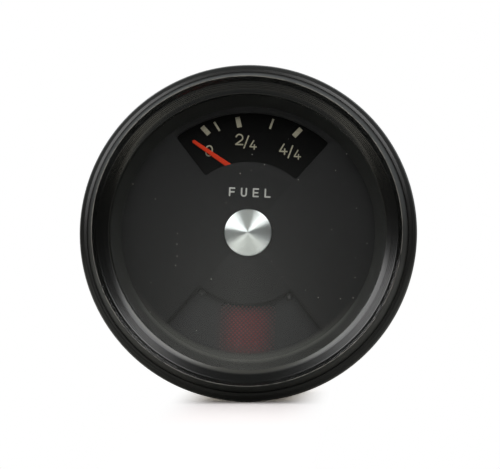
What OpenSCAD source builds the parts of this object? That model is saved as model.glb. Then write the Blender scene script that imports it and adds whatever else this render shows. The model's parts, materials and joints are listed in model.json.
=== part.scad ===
// Car fuel gauge for an 80 mm panel hole: a round instrument with a needle behind an arched window,
// a low fuel warning light behind a second window, and its studs, terminals and lamps on the back.
// Sizes are in millimetres. The gauge faces -Y, with +Z up and the panel's front face at Y = 0.

/* [Case] */
// Outer diameter of the case barrel
case_d = 79.2; // [78.6:0.1:79.8]
// How far the case's front flange stands out from the barrel
flange_w = 0.7; // [0.6:0.1:0.9]
// Depth of the case behind the panel's front face
case_depth = 38; // [36:1:48]
// Sheet thickness of the case
case_t = 0.8; // [0.6:0.1:1]
// Radius of the case's rounded back corner
case_corner_r = 2.5; // [1.5:0.25:4]
// Depth of the neck that the panel seal grips
neck_depth = 0.3; // [0.2:0.05:0.4]

/* [Bezel] */
// How far the bezel narrows from its skirt to its sharp front edge
bezel_taper = 1.9; // [1.4:0.1:2.4]
// How far the bezel stands in front of the panel
bezel_h = 9; // [8.4:0.2:11]
// Height of the bezel's straight skirt above its crimp
bezel_skirt_h = 2.9; // [2.6:0.1:3.6]
// Depth of the steep step inside the front edge
bezel_step_h = 2.2; // [1.8:0.1:2.6]
// Width of the steep step inside the front edge
bezel_step_w = 1.1; // [0.8:0.1:1.4]
// Width of the shallow bevel from the step to the opening
bezel_bevel_w = 3.2; // [2.8:0.1:3.8]
// Drop of the shallow bevel from the step to the opening
bezel_bevel_h = 1.2; // [0.8:0.1:1.6]
// Sheet thickness of the bezel
bezel_t = 0.6; // [0.5:0.05:0.7]

/* [Panel seal] */
// How far the seal stands out beyond the bezel's skirt
seal_w = 1.8; // [1.6:0.1:3]
// Height of the seal's rounded crown in front of the panel
seal_h = 4.2; // [3.8:0.1:4.6]
// Radius of the seal's rounded shoulder
seal_shoulder_r = 2; // [1.2:0.1:2.4]
// Thickness of the seal's foot between the crimp and the panel
seal_foot_h = 0.5; // [0.4:0.05:0.8]

/* [Glass and dial] */
// Thickness of the front glass
glass_t = 1.6; // [1.4:0.1:1.8]
// How far the glass's rim lies inside the case flange's
glass_inset = 0.8; // [0.5:0.1:1.5]
// Height of the depth ring's flange between case and glass
depth_flange_t = 1.2; // [1:0.1:1.4]
// Width of the depth ring's cone, from the bezel's opening in to the dial face
depth_cone_w = 2.8; // [2:0.1:3.4]
// Height of the depth ring's cone
depth_cone_h = 2.4; // [2:0.1:2.6]
// How far the dial mask's rim lies inside the case
mask_gap = 1.3; // [0.5:0.1:2]
// Thickness of the dial mask
mask_t = 1; // [0.8:0.1:1.2]
// Width of the dial face between the windows and the depth ring
window_rim_w = 1.4; // [1.2:0.1:2.4]
// Height of the two arched windows
window_h = 12.6; // [11:0.1:13]
// Half of the angle that each window spans
window_half_angle = 39.5; // [36:0.5:41]
// Corner radius of the windows
window_corner_r = 0.7; // [0.4:0.1:1]
// Gap behind the mask that the needle moves in
needle_space = 1.4; // [1.3:0.1:1.8]
// Thickness of the scale plate
scale_plate_t = 0.5; // [0.4:0.1:0.8]
// Thickness of the carrier plate behind the scale plate
carrier_t = 1; // [0.8:0.1:1.4]
// Diameter of the turned centre cap
cap_d = 12; // [10:0.5:13]
// Thickness of the centre cap at its rim
cap_rim_t = 0.6; // [0.4:0.05:0.7]
// Height of the centre cap's cone above its rim
cap_cone_h = 1.1; // [0.8:0.1:1.2]

/* [Scale] */
// Distance from the window's outer edge to the middle of the tick marks
tick_margin = 2; // [1.8:0.1:3]
// Distance from the middle of the tick marks down to the middle of the figures
figure_drop = 5.2; // [4.8:0.1:5.8]
// Length of a tick mark
tick_l = 2.7; // [2:0.1:3]
// Width of a thick tick mark
tick_thick_w = 1.2; // [0.8:0.05:1.4]
// Width of a thin tick mark
tick_thin_w = 0.5; // [0.4:0.05:0.7]
// Height of the scale's figures
figure_h = 2.6; // [2:0.1:3]
// Height of the letters on the dial face
letter_h = 2.3; // [2:0.1:2.6]
// Height of the word's middle above the dial centre
word_y = 10.3; // [9.8:0.1:10.8]
// Thickness of the printed marks
print_t = 0.06; // [0.05:0.01:0.1]

/* [Needle and movement] */
// Height of the needle's pivot above the dial centre
pivot_y = 13.6; // [13:0.1:14]
// Length of the needle from its pivot to its tip
needle_l = 18.2; // [16:0.1:18.6]
// Width of the needle at its pivot
needle_root_w = 1.5; // [1.2:0.1:1.8]
// Width of the needle at its tip
needle_tip_w = 0.9; // [0.6:0.1:1.1]
// Thickness of the needle's sheet
needle_t = 0.3; // [0.2:0.05:0.4]
// Angle of the resting needle, to the left of straight up
needle_rest_angle = 58; // [50:1:60]
// Angle that the needle turns through, from one stop to the other
needle_sweep = 108; // [90:1:115]
// Diameter of the needle's hub
hub_d = 4.4; // [3.6:0.1:5]
// Diameter of the spindle
spindle_d = 1; // [0.8:0.05:1.2]
// Diameter of the magnet on the spindle
magnet_d = 10; // [8:0.5:10.5]
// Thickness of the magnet on the spindle
magnet_t = 3; // [2:0.5:4]
// Width of the square coil former
former_w = 13; // [12.5:0.1:13.4]
// Depth of the coil former
former_h = 9; // [8.5:0.25:10]
// Build-up of each coil's winding
winding_t = 1.6; // [1:0.1:1.8]
// Width of each half of a winding
winding_w = 4.2; // [3:0.1:4.4]
// Half of the gap in each winding that the bearing stands in
winding_gap = 1.3; // [1.1:0.05:1.5]
// Inner diameter of the magnetic shield
shield_bore_d = 21; // [20.8:0.1:22]
// Sheet thickness of the magnetic shield
shield_t = 0.8; // [0.6:0.1:1]

/* [Back] */
// Distance between the two mounting studs
stud_spacing = 50; // [48:0.5:54]
// Diameter of the mounting studs
stud_d = 4; // [3.5:0.5:4]
// How far the studs stand out behind the case
stud_out = 18; // [16:1:24]
// Diameter of the knurled thumb nuts
thumb_nut_d = 11; // [9:0.5:12]
// Thickness of the knurled thumb nuts
thumb_nut_h = 5; // [4:0.5:6]
// Diameter of the holes for the lamp holders
lamp_hole_d = 12; // [11:0.5:13]
// Distance of the dial lamp to the left of the dial centre
dial_lamp_x = -19; // [-21:0.5:-19]
// Height of the dial lamp above the dial centre
dial_lamp_y = 21; // [19:0.5:22]
// Diameter of a bulb's metal cap
bulb_cap_d = 9; // [8:0.5:9]
// Diameter of a bulb's glass
bulb_glass_d = 8.2; // [7:0.2:8.4]
// Width of the spade terminals
spade_w = 6.3; // [4.8:0.1:6.3]
// Thickness of the spade terminals
spade_t = 0.8; // [0.5:0.1:0.8]

/* [Hidden] */
$fn = 96;

// Clearances: a seated fit, a running fit and a free gap
seat_gap = 0.05;
run_gap = 0.04;
free_gap = 0.3;

// Levels along the gauge's axis, measured towards the front from the panel's front face
crimp_h = seat_gap + seal_foot_h;
neck_back_h = 0.25;
neck_taper_l = 1;
flange_h = crimp_h + bezel_t;
flange_top_h = flange_h + case_t;
glass_h = flange_top_h + depth_flange_t;
glass_top_h = glass_h + glass_t;
face_h = glass_h - depth_cone_h;
mask_back_h = face_h - mask_t;
scale_h = mask_back_h - needle_space;
carrier_h = scale_h - scale_plate_t;
carrier_back_h = carrier_h - carrier_t;
back_h = -case_depth;
back_inner_h = back_h + case_t;
needle_h = mask_back_h - needle_space / 2;

// Radii that several pieces share
case_r = case_d / 2;
case_bore_r = case_r - case_t;
neck_r = case_r - neck_depth;
flange_r = case_r + flange_w;
skirt_r = flange_r + free_gap + bezel_t;
seal_r = skirt_r + seal_w;
front_edge_r = skirt_r - bezel_taper;
step_foot_r = front_edge_r - bezel_step_w;
opening_r = step_foot_r - bezel_bevel_w;
glass_r = flange_r - glass_inset;
face_r = opening_r - depth_cone_w;
mask_r = case_bore_r - mask_gap;
window_out_r = face_r - window_rim_w;
window_in_r = window_out_r - window_h;
warning_lamp_drop = (window_in_r + window_out_r) / 2;
tick_arc_r = window_out_r - tick_margin;
figure_r = tick_arc_r - figure_drop;
stud_r = stud_d / 2;
stud_x = stud_spacing / 2;
stud_head_r = stud_r + 1.3;
stud_head_t = 1.1;
lamp_hole_r = lamp_hole_d / 2;
tunnel_bore_r = lamp_hole_r + 1.2;
tunnel_t = 1;
filter_flange_t = 1;
spindle_r = spindle_d / 2;
hub_hole_r = hub_d / 2 + 0.8;
skirt_out_r = window_out_r + 1.9;
skirt_in_r = window_out_r + 0.6;
warning_lamp_at = [0, -warning_lamp_drop];
dial_lamp_at = [dial_lamp_x, dial_lamp_y];

// Bezel outline from the crimp's inner edge, over the front edge, to the opening
step_foot_h = bezel_h - bezel_step_h;
bezel_outline = [
    [neck_r + free_gap, crimp_h],
    [skirt_r, crimp_h],
    [skirt_r, crimp_h + bezel_skirt_h],
    [front_edge_r, bezel_h],
    [step_foot_r, step_foot_h],
    [opening_r, step_foot_h - bezel_bevel_h]
];
bezel_corner_r = [0, 0.4, 1, 0.15, 0.5, 0];

// Movement levels, with the magnet in the middle of the coil former
bearing_r = winding_gap - 0.1;
cavity_h = magnet_t + 1.8;
cavity_r = magnet_d / 2 + 0.6;
inner_coil_z = former_h / 2 + seat_gap;
outer_coil_z = inner_coil_z + winding_t + 0.15;
coil_front_gap = 1.4;
movement_h = carrier_back_h - coil_front_gap - outer_coil_z - winding_t;
shield_back_h = movement_h - outer_coil_z - winding_t - 1.2;
former_post_w = 1.5;
former_post_at = winding_gap + winding_w + 0.15;

// Scale marks: [angle at the pivot to the right of straight up, thick]
ticks = [[-44.5, true], [-34.5, false], [-14.5, true], [17.5, false], [41.5, true]];
zero_angle = -28;
two_fourths_angle = -4;
four_fourths_angle = 24.5;

// Perforation of the warning screen
hole_pitch = 1.04;
hole_d = 0.5;
screen_t = 0.5;
screen_margin = 0.5;
screen_field_w = 13.8;
screen_field_x = 0.9;
filter_w = screen_field_w + 0.4;
filter_h = window_h - 0.2;
filter_corner_r = 1.5;
rivet_angle = 35.3;
rivet_r = 0.85;
rivet_inset = 1.1;
rivet_dome_h = 0.4;

// Stops, cap clip, light gap and fits of the dial's small parts
stop_r = 0.5;
stop_reach = 5.6;
stop_gap = 0.2;
light_gap_half_angle = 46;
slot_half_angle = 44;
cap_pin_r = 1;
cap_clip_r = 2.6;
cap_clip_t = 0.4;
needle_tail_l = 5.2;
needle_tail_r = 1.5;

// Knurling of the thumb nuts
knurl_count = 28;
knurl_depth = 0.4;
washer_t = 0.8;
lock_nut_h = 2.4;
lock_nut_af = 7;

// Lamp holders
holder_flange_r = lamp_hole_r + 1.4;
holder_flange_t = 1.5;
holder_barrel_r = lamp_hole_r - 0.5;
holder_barrel_h = 8;
holder_sleeve_h = 9;
holder_floor_h = 2;
lug_w = 4.8;
lug_l = 7;
bulb_straight_h = 7;

// Terminals
terminal_x = 7;
terminal_lift = 15.5;
terminal_y = terminal_lift - warning_lamp_drop;
plate_w = 26;
plate_h = 12.5;
plate_t = 1.5;
insulator_t = 1;
rivet_drop = 3.8;
spade_l = 8.5;
foot_l = 7;
earth_at = [21, -20];
resistor_r = 2.2;
resistor_l = 17;
resistor_end_r = resistor_r + 0.25;
resistor_end_l = 1.6;
resistor_h = back_inner_h + insulator_t + 5;
lead_r = 0.6;
lead_rise = 2.4;
clip_w = 2.6;
clip_t = 1;

// Turns a shape drawn as seen from the front (x right, y up, z towards the viewer) into the upright gauge
module upright() rotate([90, 0, 0]) children();

// Points along an arc, from angle a0 to a1
function arc(centre, r, a0, a1, steps = 8) =
    [for (i = [0 : steps]) let (a = a0 + (a1 - a0) * i / steps) centre + r * [cos(a), sin(a)]];

function unit(v) = v / norm(v);
function left_of(v) = [-v[1], v[0]];

// The corner at p between a and b, rounded to radius r
function round_corner(a, p, b, r, steps = 6) =
    r == 0 ? [p] :
    let (
        u = unit(a - p), v = unit(b - p),
        half = acos(u * v) / 2,
        centre = p + unit(u + v) * r / sin(half),
        t0 = p + u * r / tan(half) - centre,
        t1 = p + v * r / tan(half) - centre,
        a0 = atan2(t0[1], t0[0]),
        turn = atan2(t0[0] * t1[1] - t0[1] * t1[0], t0 * t1)
    )
    [for (i = [0 : steps]) centre + r * [cos(a0 + turn * i / steps), sin(a0 + turn * i / steps)]];

// An open outline with its inner corners rounded
function rounded(pts, radii) =
    [for (i = [0 : len(pts) - 1])
        each (i == 0 || i == len(pts) - 1) ? [pts[i]] :
            round_corner(pts[i - 1], pts[i], pts[i + 1], radii[i])];

// The open outline moved to its left by t, with mitred corners
function moved_left(pts, t) =
    [for (i = [0 : len(pts) - 1])
        let (
            before = unit(pts[max(i, 1)] - pts[max(i, 1) - 1]),
            after = unit(pts[min(i, len(pts) - 2) + 1] - pts[min(i, len(pts) - 2)]),
            bend = unit(left_of(before) + left_of(after))
        )
        pts[i] + bend * t / (bend * left_of(before))];

function reversed(pts) = [for (i = [len(pts) - 1 : -1 : 0]) pts[i]];

// Sheet metal of thickness t, spun about the axis along an outline
module spun_sheet(outline, corner_r, t) {
    inner = moved_left(outline, t);
    inner_r = [for (r = corner_r) r > t ? r - t : 0];
    rotate_extrude()
        polygon(concat(rounded(outline, corner_r), reversed(rounded(inner, inner_r))));
}

// Height of the bezel bevel's underside at radius r
function bevel_underside(r) =
    let (inner = moved_left(bezel_outline, bezel_t), foot = inner[4], lip = inner[5])
    lip[1] + (foot[1] - lip[1]) * (r - lip[0]) / (foot[0] - lip[0]);

module ring(r_out, r_in, h) {
    difference() {
        cylinder(r = r_out, h = h);
        translate([0, 0, -1]) cylinder(r = r_in, h = h + 2);
    }
}

// A flat wedge that opens upwards from the centre, half_angle to each side
module wedge(half_angle, reach) {
    x = reach * sin(half_angle);
    y = reach * cos(half_angle);
    polygon([[0, 0], [x, y], [x, reach], [-x, reach], [-x, y]]);
}

module sector(r_in, r_out, half_angle) {
    intersection() {
        difference() {
            circle(r = r_out);
            circle(r = r_in);
        }
        wedge(half_angle, 2 * r_out);
    }
}

function polar(r, a) = r * [cos(a), sin(a)];

// An arched window with rounded corners, its outline run round to the left from the outer right corner
module window_shape(r_in, r_out, half_angle, corner_r) {
    in_a = half_angle - asin(corner_r / (r_in + corner_r));
    out_a = half_angle - asin(corner_r / (r_out - corner_r));
    polygon(concat(
        arc(polar(r_out - corner_r, 90 - out_a), corner_r, -half_angle, 90 - out_a, 5),
        arc([0, 0], r_out, 90 - out_a, 90 + out_a, 36),
        arc(polar(r_out - corner_r, 90 + out_a), corner_r, 90 + out_a, 180 + half_angle, 5),
        arc(polar(r_in + corner_r, 90 + in_a), corner_r, 180 + half_angle, 270 + in_a, 5),
        arc([0, 0], r_in, 90 + in_a, 90 - in_a, 24),
        arc(polar(r_in + corner_r, 90 - in_a), corner_r, 270 - in_a, 360 - half_angle, 5)
    ));
}

module dial_window() window_shape(window_in_r, window_out_r, window_half_angle, window_corner_r);

// A printed stroke with round ends
module stroke(a, b, w) {
    d = b - a;
    translate(a) rotate(atan2(d[1], d[0])) translate([0, -w / 2]) square([norm(d), w]);
    translate(a) circle(d = w);
    translate(b) circle(d = w);
}

// Part of a printed circle, from angle a0 round to a1 in short strokes
module arc_stroke(centre, r, a0, a1, w) {
    pts = arc(centre, r, a0, a1, 10);
    for (i = [0 : len(pts) - 2]) stroke(pts[i], pts[i + 1], w);
}

// Figures and letters stand on y = 0 and are centred on x = 0
module figure_zero(h, w) {
    r = h * 0.3;
    arc_stroke([0, h - r], r, 0, 180, w);
    arc_stroke([0, r], r, 180, 360, w);
    for (side = [-1, 1]) stroke([side * r, r], [side * r, h - r], w);
}

module figure_two(h, w) {
    r = h * 0.33;
    arc_stroke([0, h - r], r, -35, 165, w);
    stroke([r * cos(35), h - r - r * sin(35)], [-r, 0], w);
    stroke([-r, 0], [r * 1.1, 0], w);
}

module figure_four(h, w) {
    stroke([h * 0.04, h], [-h * 0.36, h * 0.28], w);
    stroke([-h * 0.36, h * 0.28], [h * 0.36, h * 0.28], w);
    stroke([h * 0.13, h * 0.52], [h * 0.13, 0], w);
}

module slash(h, w) stroke([-h * 0.2, -h * 0.12], [h * 0.2, h * 1.08], w);

// A fraction of fourths: the upper figure raised to the left, the lower one dropped to the right
module fourths(h, w) {
    rise = h * 0.21;
    step = h * 0.7;
    translate([-step, rise - h / 2]) children();
    translate([0, -h / 2]) slash(h, w);
    translate([step, -rise - h / 2]) scale(0.86) figure_four(h, w);
}

module bar_letter(strokes, w) {
    for (s = strokes) stroke(s[0], s[1], w);
}

// Back-view positions of the two studs
module at_studs() for (side = [-1, 1]) translate([side * stud_x, 0, 0]) children();

// Bezel and seals

module bezel_ring() {
    color([0.05, 0.05, 0.05]) upright() spun_sheet(bezel_outline, bezel_corner_r, bezel_t);
}

module panel_seal() {
    inner_r = skirt_r + seat_gap;
    land_w = 0.25;
    top_angle = min(90, acos((seal_shoulder_r - seal_w + seat_gap + land_w) / seal_shoulder_r));
    shoulder = arc([seal_r - seal_shoulder_r, seal_h - seal_shoulder_r], seal_shoulder_r, 0, top_angle);
    color([0.09, 0.09, 0.09]) upright() rotate_extrude() polygon(concat(
        [[neck_r + seat_gap, seal_foot_h], [neck_r + seat_gap, 0.3], [case_r + 0.3, 0],
         [seal_r - 0.6, 0], [seal_r, 0.6]],
        shoulder,
        [[inner_r, seal_h - 0.1], [inner_r, seal_foot_h]]
    ));
}

module glass_gasket() {
    in_r = opening_r + 0.4;
    out_r = step_foot_r - 0.3;
    color([0.12, 0.12, 0.11]) upright() rotate_extrude() polygon([
        [in_r, glass_top_h], [out_r, glass_top_h],
        [out_r, bevel_underside(out_r) - seat_gap], [in_r, bevel_underside(in_r) - seat_gap]
    ]);
}

module front_glass() {
    color([0.85, 0.9, 0.9, 0.3]) upright() translate([0, 0, glass_h]) cylinder(r = glass_r, h = glass_t);
}

module depth_ring() {
    color([0.1, 0.1, 0.09]) upright() rotate_extrude() polygon([
        [face_r, face_h], [case_bore_r - free_gap, face_h], [case_bore_r - free_gap, flange_top_h],
        [flange_r, flange_top_h], [flange_r, glass_h], [opening_r, glass_h]
    ]);
}

// Dial

module dial_mask() {
    color([0.16, 0.16, 0.16]) upright() {
        translate([0, 0, mask_back_h]) linear_extrude(mask_t) difference() {
            circle(r = mask_r);
            dial_window();
            rotate(180) dial_window();
            circle(r = cap_pin_r + seat_gap);
        }
        translate([0, 0, scale_h]) linear_extrude(needle_space) difference() {
            circle(r = skirt_out_r);
            circle(r = skirt_in_r);
            wedge(light_gap_half_angle, 2 * skirt_out_r);
        }
    }
}

module centre_cap() {
    cap_r = cap_d / 2;
    pin_h = mask_t + cap_clip_t + 0.3;
    color([0.82, 0.82, 0.8]) upright() translate([0, 0, face_h]) rotate_extrude() polygon([
        [0, -pin_h], [cap_pin_r, -pin_h], [cap_pin_r, 0], [cap_r - 0.2, 0],
        [cap_r, 0.2], [cap_r, cap_rim_t], [0, cap_rim_t + cap_cone_h]
    ]);
}

module cap_clip() {
    color([0.6, 0.6, 0.58]) upright() translate([0, 0, mask_back_h - cap_clip_t])
        linear_extrude(cap_clip_t) difference() {
            circle(r = cap_clip_r);
            circle(r = cap_pin_r + run_gap);
            for (turn = [0 : 90 : 270]) rotate(turn) translate([1.6, 0]) square([0.8, 0.5], center = true);
        }
}

module dial_letters() {
    w = letter_h * 0.17;
    half_w = letter_h * 0.26;
    pitch = letter_h * 1.32;
    top = letter_h - w;
    stem = [[-half_w, 0], [-half_w, top]];
    head = [[-half_w, top], [half_w, top]];
    middle = [[-half_w, top / 2], [half_w * 0.8, top / 2]];
    base = [[-half_w, 0], [half_w, 0]];
    color([0.75, 0.75, 0.7]) upright()
        translate([0, word_y - top / 2, face_h]) linear_extrude(print_t) {
            translate([-1.5 * pitch, 0]) bar_letter([stem, head, middle], w);
            translate([-0.5 * pitch, 0]) {
                bar_letter([[[-half_w, half_w], [-half_w, top]], [[half_w, half_w], [half_w, top]]], w);
                arc_stroke([0, half_w], half_w, 180, 360, w);
            }
            translate([0.5 * pitch, 0]) bar_letter([stem, head, middle, base], w);
            translate([1.5 * pitch, 0]) bar_letter([stem, base], w);
        }
}

module scale_plate() {
    color([0.04, 0.04, 0.04]) upright() translate([0, 0, carrier_h]) linear_extrude(scale_plate_t)
        difference() {
            circle(r = skirt_out_r + 0.8);
            translate([0, pivot_y]) circle(r = hub_hole_r);
            lens_shape(seat_gap);
            for (side = [-1, 1]) translate([side * stud_x, 0]) circle(r = stud_head_r + 0.3);
        }
}

// A tick mark points at the needle's pivot and is centred on the dial's tick arc
module tick(angle, thick) {
    away = pivot_y * cos(angle);
    reach = sqrt(tick_arc_r * tick_arc_r - pow(pivot_y * sin(angle), 2)) - away;
    w = thick ? tick_thick_w : tick_thin_w;
    translate([0, pivot_y]) rotate(-angle) translate([-w / 2, reach - tick_l / 2]) square([w, tick_l]);
}

// A figure's middle lies at this angle to the right of straight up, seen from the dial centre
module at_figure(angle) translate(polar(figure_r, 90 - angle)) children();

module scale_marks() {
    w = figure_h * 0.13;
    color([0.62, 0.58, 0.46]) upright() translate([0, 0, scale_h]) linear_extrude(print_t) {
        for (t = ticks) tick(t[0], t[1]);
        at_figure(zero_angle) translate([0, -figure_h / 2]) figure_zero(figure_h, w);
        at_figure(two_fourths_angle) fourths(figure_h, w) figure_two(figure_h, w);
        at_figure(four_fourths_angle) fourths(figure_h, w) figure_four(figure_h, w);
    }
}

// A stop stands beside the needle, a little clear of its edge
module needle_stops() {
    edge = needle_root_w / 2 + stop_r + seat_gap;
    color([0.7, 0.6, 0.3]) upright() translate([0, pivot_y, scale_h])
        for (stop = [[needle_rest_angle, 1], [needle_rest_angle - needle_sweep, -1]])
            rotate(stop[0]) translate([-stop[1] * edge, stop_reach, 0])
                cylinder(r = stop_r, h = needle_space - stop_gap);
}

// Warning light

module warning_screen() {
    rows = ceil(screen_field_w / hole_pitch);
    edge = hole_d / 2 + 0.25;
    color([0.2, 0.2, 0.2]) upright() translate([0, 0, scale_h]) linear_extrude(screen_t)
        difference() {
            rotate(180) window_shape(window_in_r - screen_margin, window_out_r + screen_margin - 0.1,
                window_half_angle + 1.4, window_corner_r);
            for (i = [-rows : rows], j = [-rows : rows]) {
                at = [screen_field_x, -warning_lamp_drop] + [i, j] * hole_pitch / 2;
                if ((i + j) % 2 == 0 && abs(i) * hole_pitch < screen_field_w
                    && norm(at) > window_in_r + edge && norm(at) < window_out_r - edge)
                    translate(at) circle(d = hole_d, $fn = 10);
            }
            at_screen_rivets() circle(r = rivet_r / 2 + run_gap);
        }
}

module at_screen_rivets() {
    for (side = [-1, 1])
        rotate(180 + side * rivet_angle) translate([0, window_in_r + rivet_inset]) children();
}

module screen_rivets() {
    dome = arc([0, 0], 1, 0, 90);
    color([0.3, 0.3, 0.3]) upright() at_screen_rivets() {
        translate([0, 0, scale_h + screen_t]) rotate_extrude()
            polygon(concat([[0, 0], [rivet_r, 0]],
                [for (p = dome) [p[0] * rivet_r, 0.1 + p[1] * rivet_dome_h]]));
        translate([0, 0, scale_h]) cylinder(r = rivet_r / 2, h = screen_t);
    }
}

// The lens behind the perforated field, grown by gap on every side
module lens_shape(gap = 0) {
    r = filter_corner_r + gap;
    x = filter_w / 2 - filter_corner_r;
    y = filter_h / 2 - filter_corner_r;
    translate(warning_lamp_at + [screen_field_x, 0]) polygon(concat(
        arc([x, y], r, 0, 90), arc([-x, y], r, 90, 180),
        arc([-x, -y], r, 180, 270), arc([x, -y], r, 270, 360)
    ));
}

module red_filter() {
    color([0.6, 0.02, 0.03, 0.7]) upright() {
        translate([0, 0, carrier_back_h]) linear_extrude(scale_h - carrier_back_h) lens_shape();
        translate([warning_lamp_at[0], warning_lamp_at[1], carrier_back_h - filter_flange_t])
            cylinder(r = tunnel_bore_r - seat_gap, h = filter_flange_t);
    }
}

module lamp_tunnel() {
    color([0.9, 0.9, 0.88]) upright()
        translate([warning_lamp_at[0], warning_lamp_at[1], back_inner_h])
            ring(tunnel_bore_r + tunnel_t, tunnel_bore_r, carrier_back_h - back_inner_h);
}

module dial_carrier() {
    color([0.7, 0.7, 0.66]) upright() translate([0, 0, carrier_back_h]) linear_extrude(carrier_t)
        difference() {
            circle(r = case_bore_r - free_gap);
            translate([0, pivot_y]) circle(r = hub_hole_r);
            lens_shape(seat_gap);
            for (side = [-1, 1]) {
                translate([side * stud_x, 0]) circle(r = stud_r + run_gap);
                translate([side * shield_ear_x, pivot_y]) circle(r = shield_screw_r + run_gap);
            }
            sector(skirt_out_r + 1.3, case_bore_r - 1.5, slot_half_angle);
        }
}

// Needle

module at_pivot(h) translate([0, pivot_y, h]) children();
module at_rest() at_pivot(0) rotate(needle_rest_angle) children();

module pointer() {
    color([0.85, 0.16, 0.05]) upright() at_rest() translate([0, 0, needle_h - needle_t / 2])
        linear_extrude(needle_t) difference() {
            union() {
                polygon([
                    [-needle_root_w / 2, 0], [needle_root_w / 2, 0],
                    [needle_tip_w / 2, needle_l - 0.3], [0, needle_l], [-needle_tip_w / 2, needle_l - 0.3]
                ]);
                circle(d = hub_d);
                translate([-needle_root_w / 2, -needle_tail_l]) square([needle_root_w, needle_tail_l]);
                translate([0, -needle_tail_l]) circle(r = needle_tail_r);
            }
            circle(r = hub_neck_r);
        }
}

hub_neck_r = hub_d / 4 + 0.1;

module pointer_hub() {
    hub_top = mask_back_h - 0.25;
    hub_bottom = carrier_h - carrier_t / 2;
    color([0.12, 0.12, 0.12]) upright() at_pivot(0) difference() {
        union() {
            translate([0, 0, hub_bottom]) cylinder(d = hub_d, h = needle_h - needle_t / 2 - hub_bottom);
            translate([0, 0, hub_bottom]) cylinder(r = hub_neck_r, h = hub_top - hub_bottom);
        }
        translate([0, 0, hub_bottom - 1]) cylinder(r = spindle_r, h = hub_top - hub_bottom - 0.2 + 1);
    }
}

module spindle() {
    rear = movement_h - outer_coil_z - winding_t + 0.5;
    color([0.75, 0.75, 0.75]) upright() at_pivot(rear)
        cylinder(r = spindle_r, h = mask_back_h - 0.45 - rear);
}

module rotor_magnet() {
    color([0.25, 0.25, 0.27]) upright() at_pivot(movement_h - magnet_t / 2)
        ring(magnet_d / 2, spindle_r, magnet_t);
}

// Movement

// Half of the coil former: a box round the magnet's cavity, with corner posts to its seat
module former_half(side, post_end) {
    depth = former_h / 2;
    low = side > 0 ? movement_h : movement_h - depth;
    post_low = min(post_end, movement_h);
    difference() {
        union() {
            translate([-former_w / 2, -former_w / 2, low]) cube([former_w, former_w, depth]);
            for (sx = [-1, 1], sy = [-1, 1])
                translate([sx * (former_post_at + former_post_w / 2) - former_post_w / 2,
                    sy * (former_post_at + former_post_w / 2) - former_post_w / 2, post_low])
                    cube([former_post_w, former_post_w, abs(post_end - movement_h)]);
        }
        translate([0, 0, movement_h - cavity_h / 2]) cylinder(r = cavity_r, h = cavity_h);
        translate([0, 0, low - 1]) cylinder(r = bearing_r, h = depth + 2);
    }
}

module former_front() {
    color([0.88, 0.86, 0.78]) upright() at_pivot(0) former_half(1, carrier_back_h);
}

module former_rear() {
    color([0.88, 0.86, 0.78]) upright() at_pivot(0) former_half(-1, shield_back_h + shield_t);
}

// Two rectangular hanks side by side, wound over the former's front and back
module winding(reach_y, reach_z) {
    for (side = [-1, 1])
        translate([side * (winding_gap + winding_w / 2), 0, movement_h]) difference() {
            cube([winding_w, 2 * (reach_y + winding_t), 2 * (reach_z + winding_t)], center = true);
            cube([winding_w + 1, 2 * reach_y, 2 * reach_z], center = true);
        }
}

module empty_coil() {
    color([0.62, 0.3, 0.14]) upright() at_pivot(0) winding(former_w / 2 + seat_gap, inner_coil_z);
}

module full_coil() {
    color([0.7, 0.36, 0.16]) upright() at_pivot(0) rotate(90)
        winding(former_w / 2 + 0.15, outer_coil_z);
}

module front_bearing() {
    rear = movement_h + cavity_h / 2;
    color([0.75, 0.6, 0.3]) upright() at_pivot(rear)
        ring(bearing_r - 0.01, spindle_r + run_gap, movement_h + outer_coil_z + winding_t - rear);
}

// The rear bearing is closed at its end, where the spindle's tip runs
module rear_bearing() {
    rear = movement_h - outer_coil_z - winding_t;
    front = movement_h - cavity_h / 2;
    color([0.75, 0.6, 0.3]) upright() at_pivot(rear) difference() {
        cylinder(r = bearing_r - 0.01, h = front - rear);
        translate([0, 0, 0.45]) cylinder(r = spindle_r + run_gap, h = front - rear);
    }
}

shield_r = shield_bore_d / 2 + shield_t;
shield_ear_x = shield_r + 2.2;
shield_screw_r = 1;

module magnetic_shield() {
    lead_hole_r = lead_r + 0.3;
    height = carrier_back_h - shield_back_h;
    color([0.55, 0.55, 0.56]) upright() at_pivot(shield_back_h) difference() {
        union() {
            cylinder(r = shield_r, h = height);
            for (side = [-1, 1]) translate([side * shield_ear_x, 0, height - shield_t])
                cylinder(r = 2.8, h = shield_t);
        }
        translate([0, 0, shield_t]) cylinder(d = shield_bore_d, h = height);
        for (side = [-1, 1]) {
            translate([side * shield_ear_x, 0, height - shield_t - 1])
                cylinder(r = shield_screw_r + run_gap, h = shield_t + 2);
            translate([side * lead_x, -lead_drop, -1]) cylinder(r = lead_hole_r, h = shield_t + 2);
        }
    }
}

lead_x = 4;
lead_drop = 3.5;

module shield_screws() {
    head_r = 1.8;
    head_t = 1.1;
    color([0.75, 0.73, 0.65]) upright()
        for (side = [-1, 1]) translate([side * shield_ear_x, pivot_y, carrier_back_h - shield_t]) {
            cylinder(r = shield_screw_r, h = shield_t + carrier_t);
            translate([0, 0, -head_t]) difference() {
                cylinder(r = head_r, h = head_t);
                translate([-head_r, -0.25, -1]) cube([2 * head_r, 0.5, 1.5]);
            }
        }
}

// Resistor and leads

module ballast_resistor() {
    color([0.86, 0.84, 0.76]) upright() translate([-resistor_l / 2, terminal_y, resistor_h])
        rotate([0, 90, 0]) cylinder(r = resistor_r, h = resistor_l);
}

module resistor_ends() {
    color([0.7, 0.7, 0.7]) upright()
        for (x = [-resistor_l / 2 + 0.5, resistor_l / 2 - 0.5 - resistor_end_l])
            translate([x, terminal_y, resistor_h]) rotate([0, 90, 0])
                ring(resistor_end_r, resistor_r, resistor_end_l);
}

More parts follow.
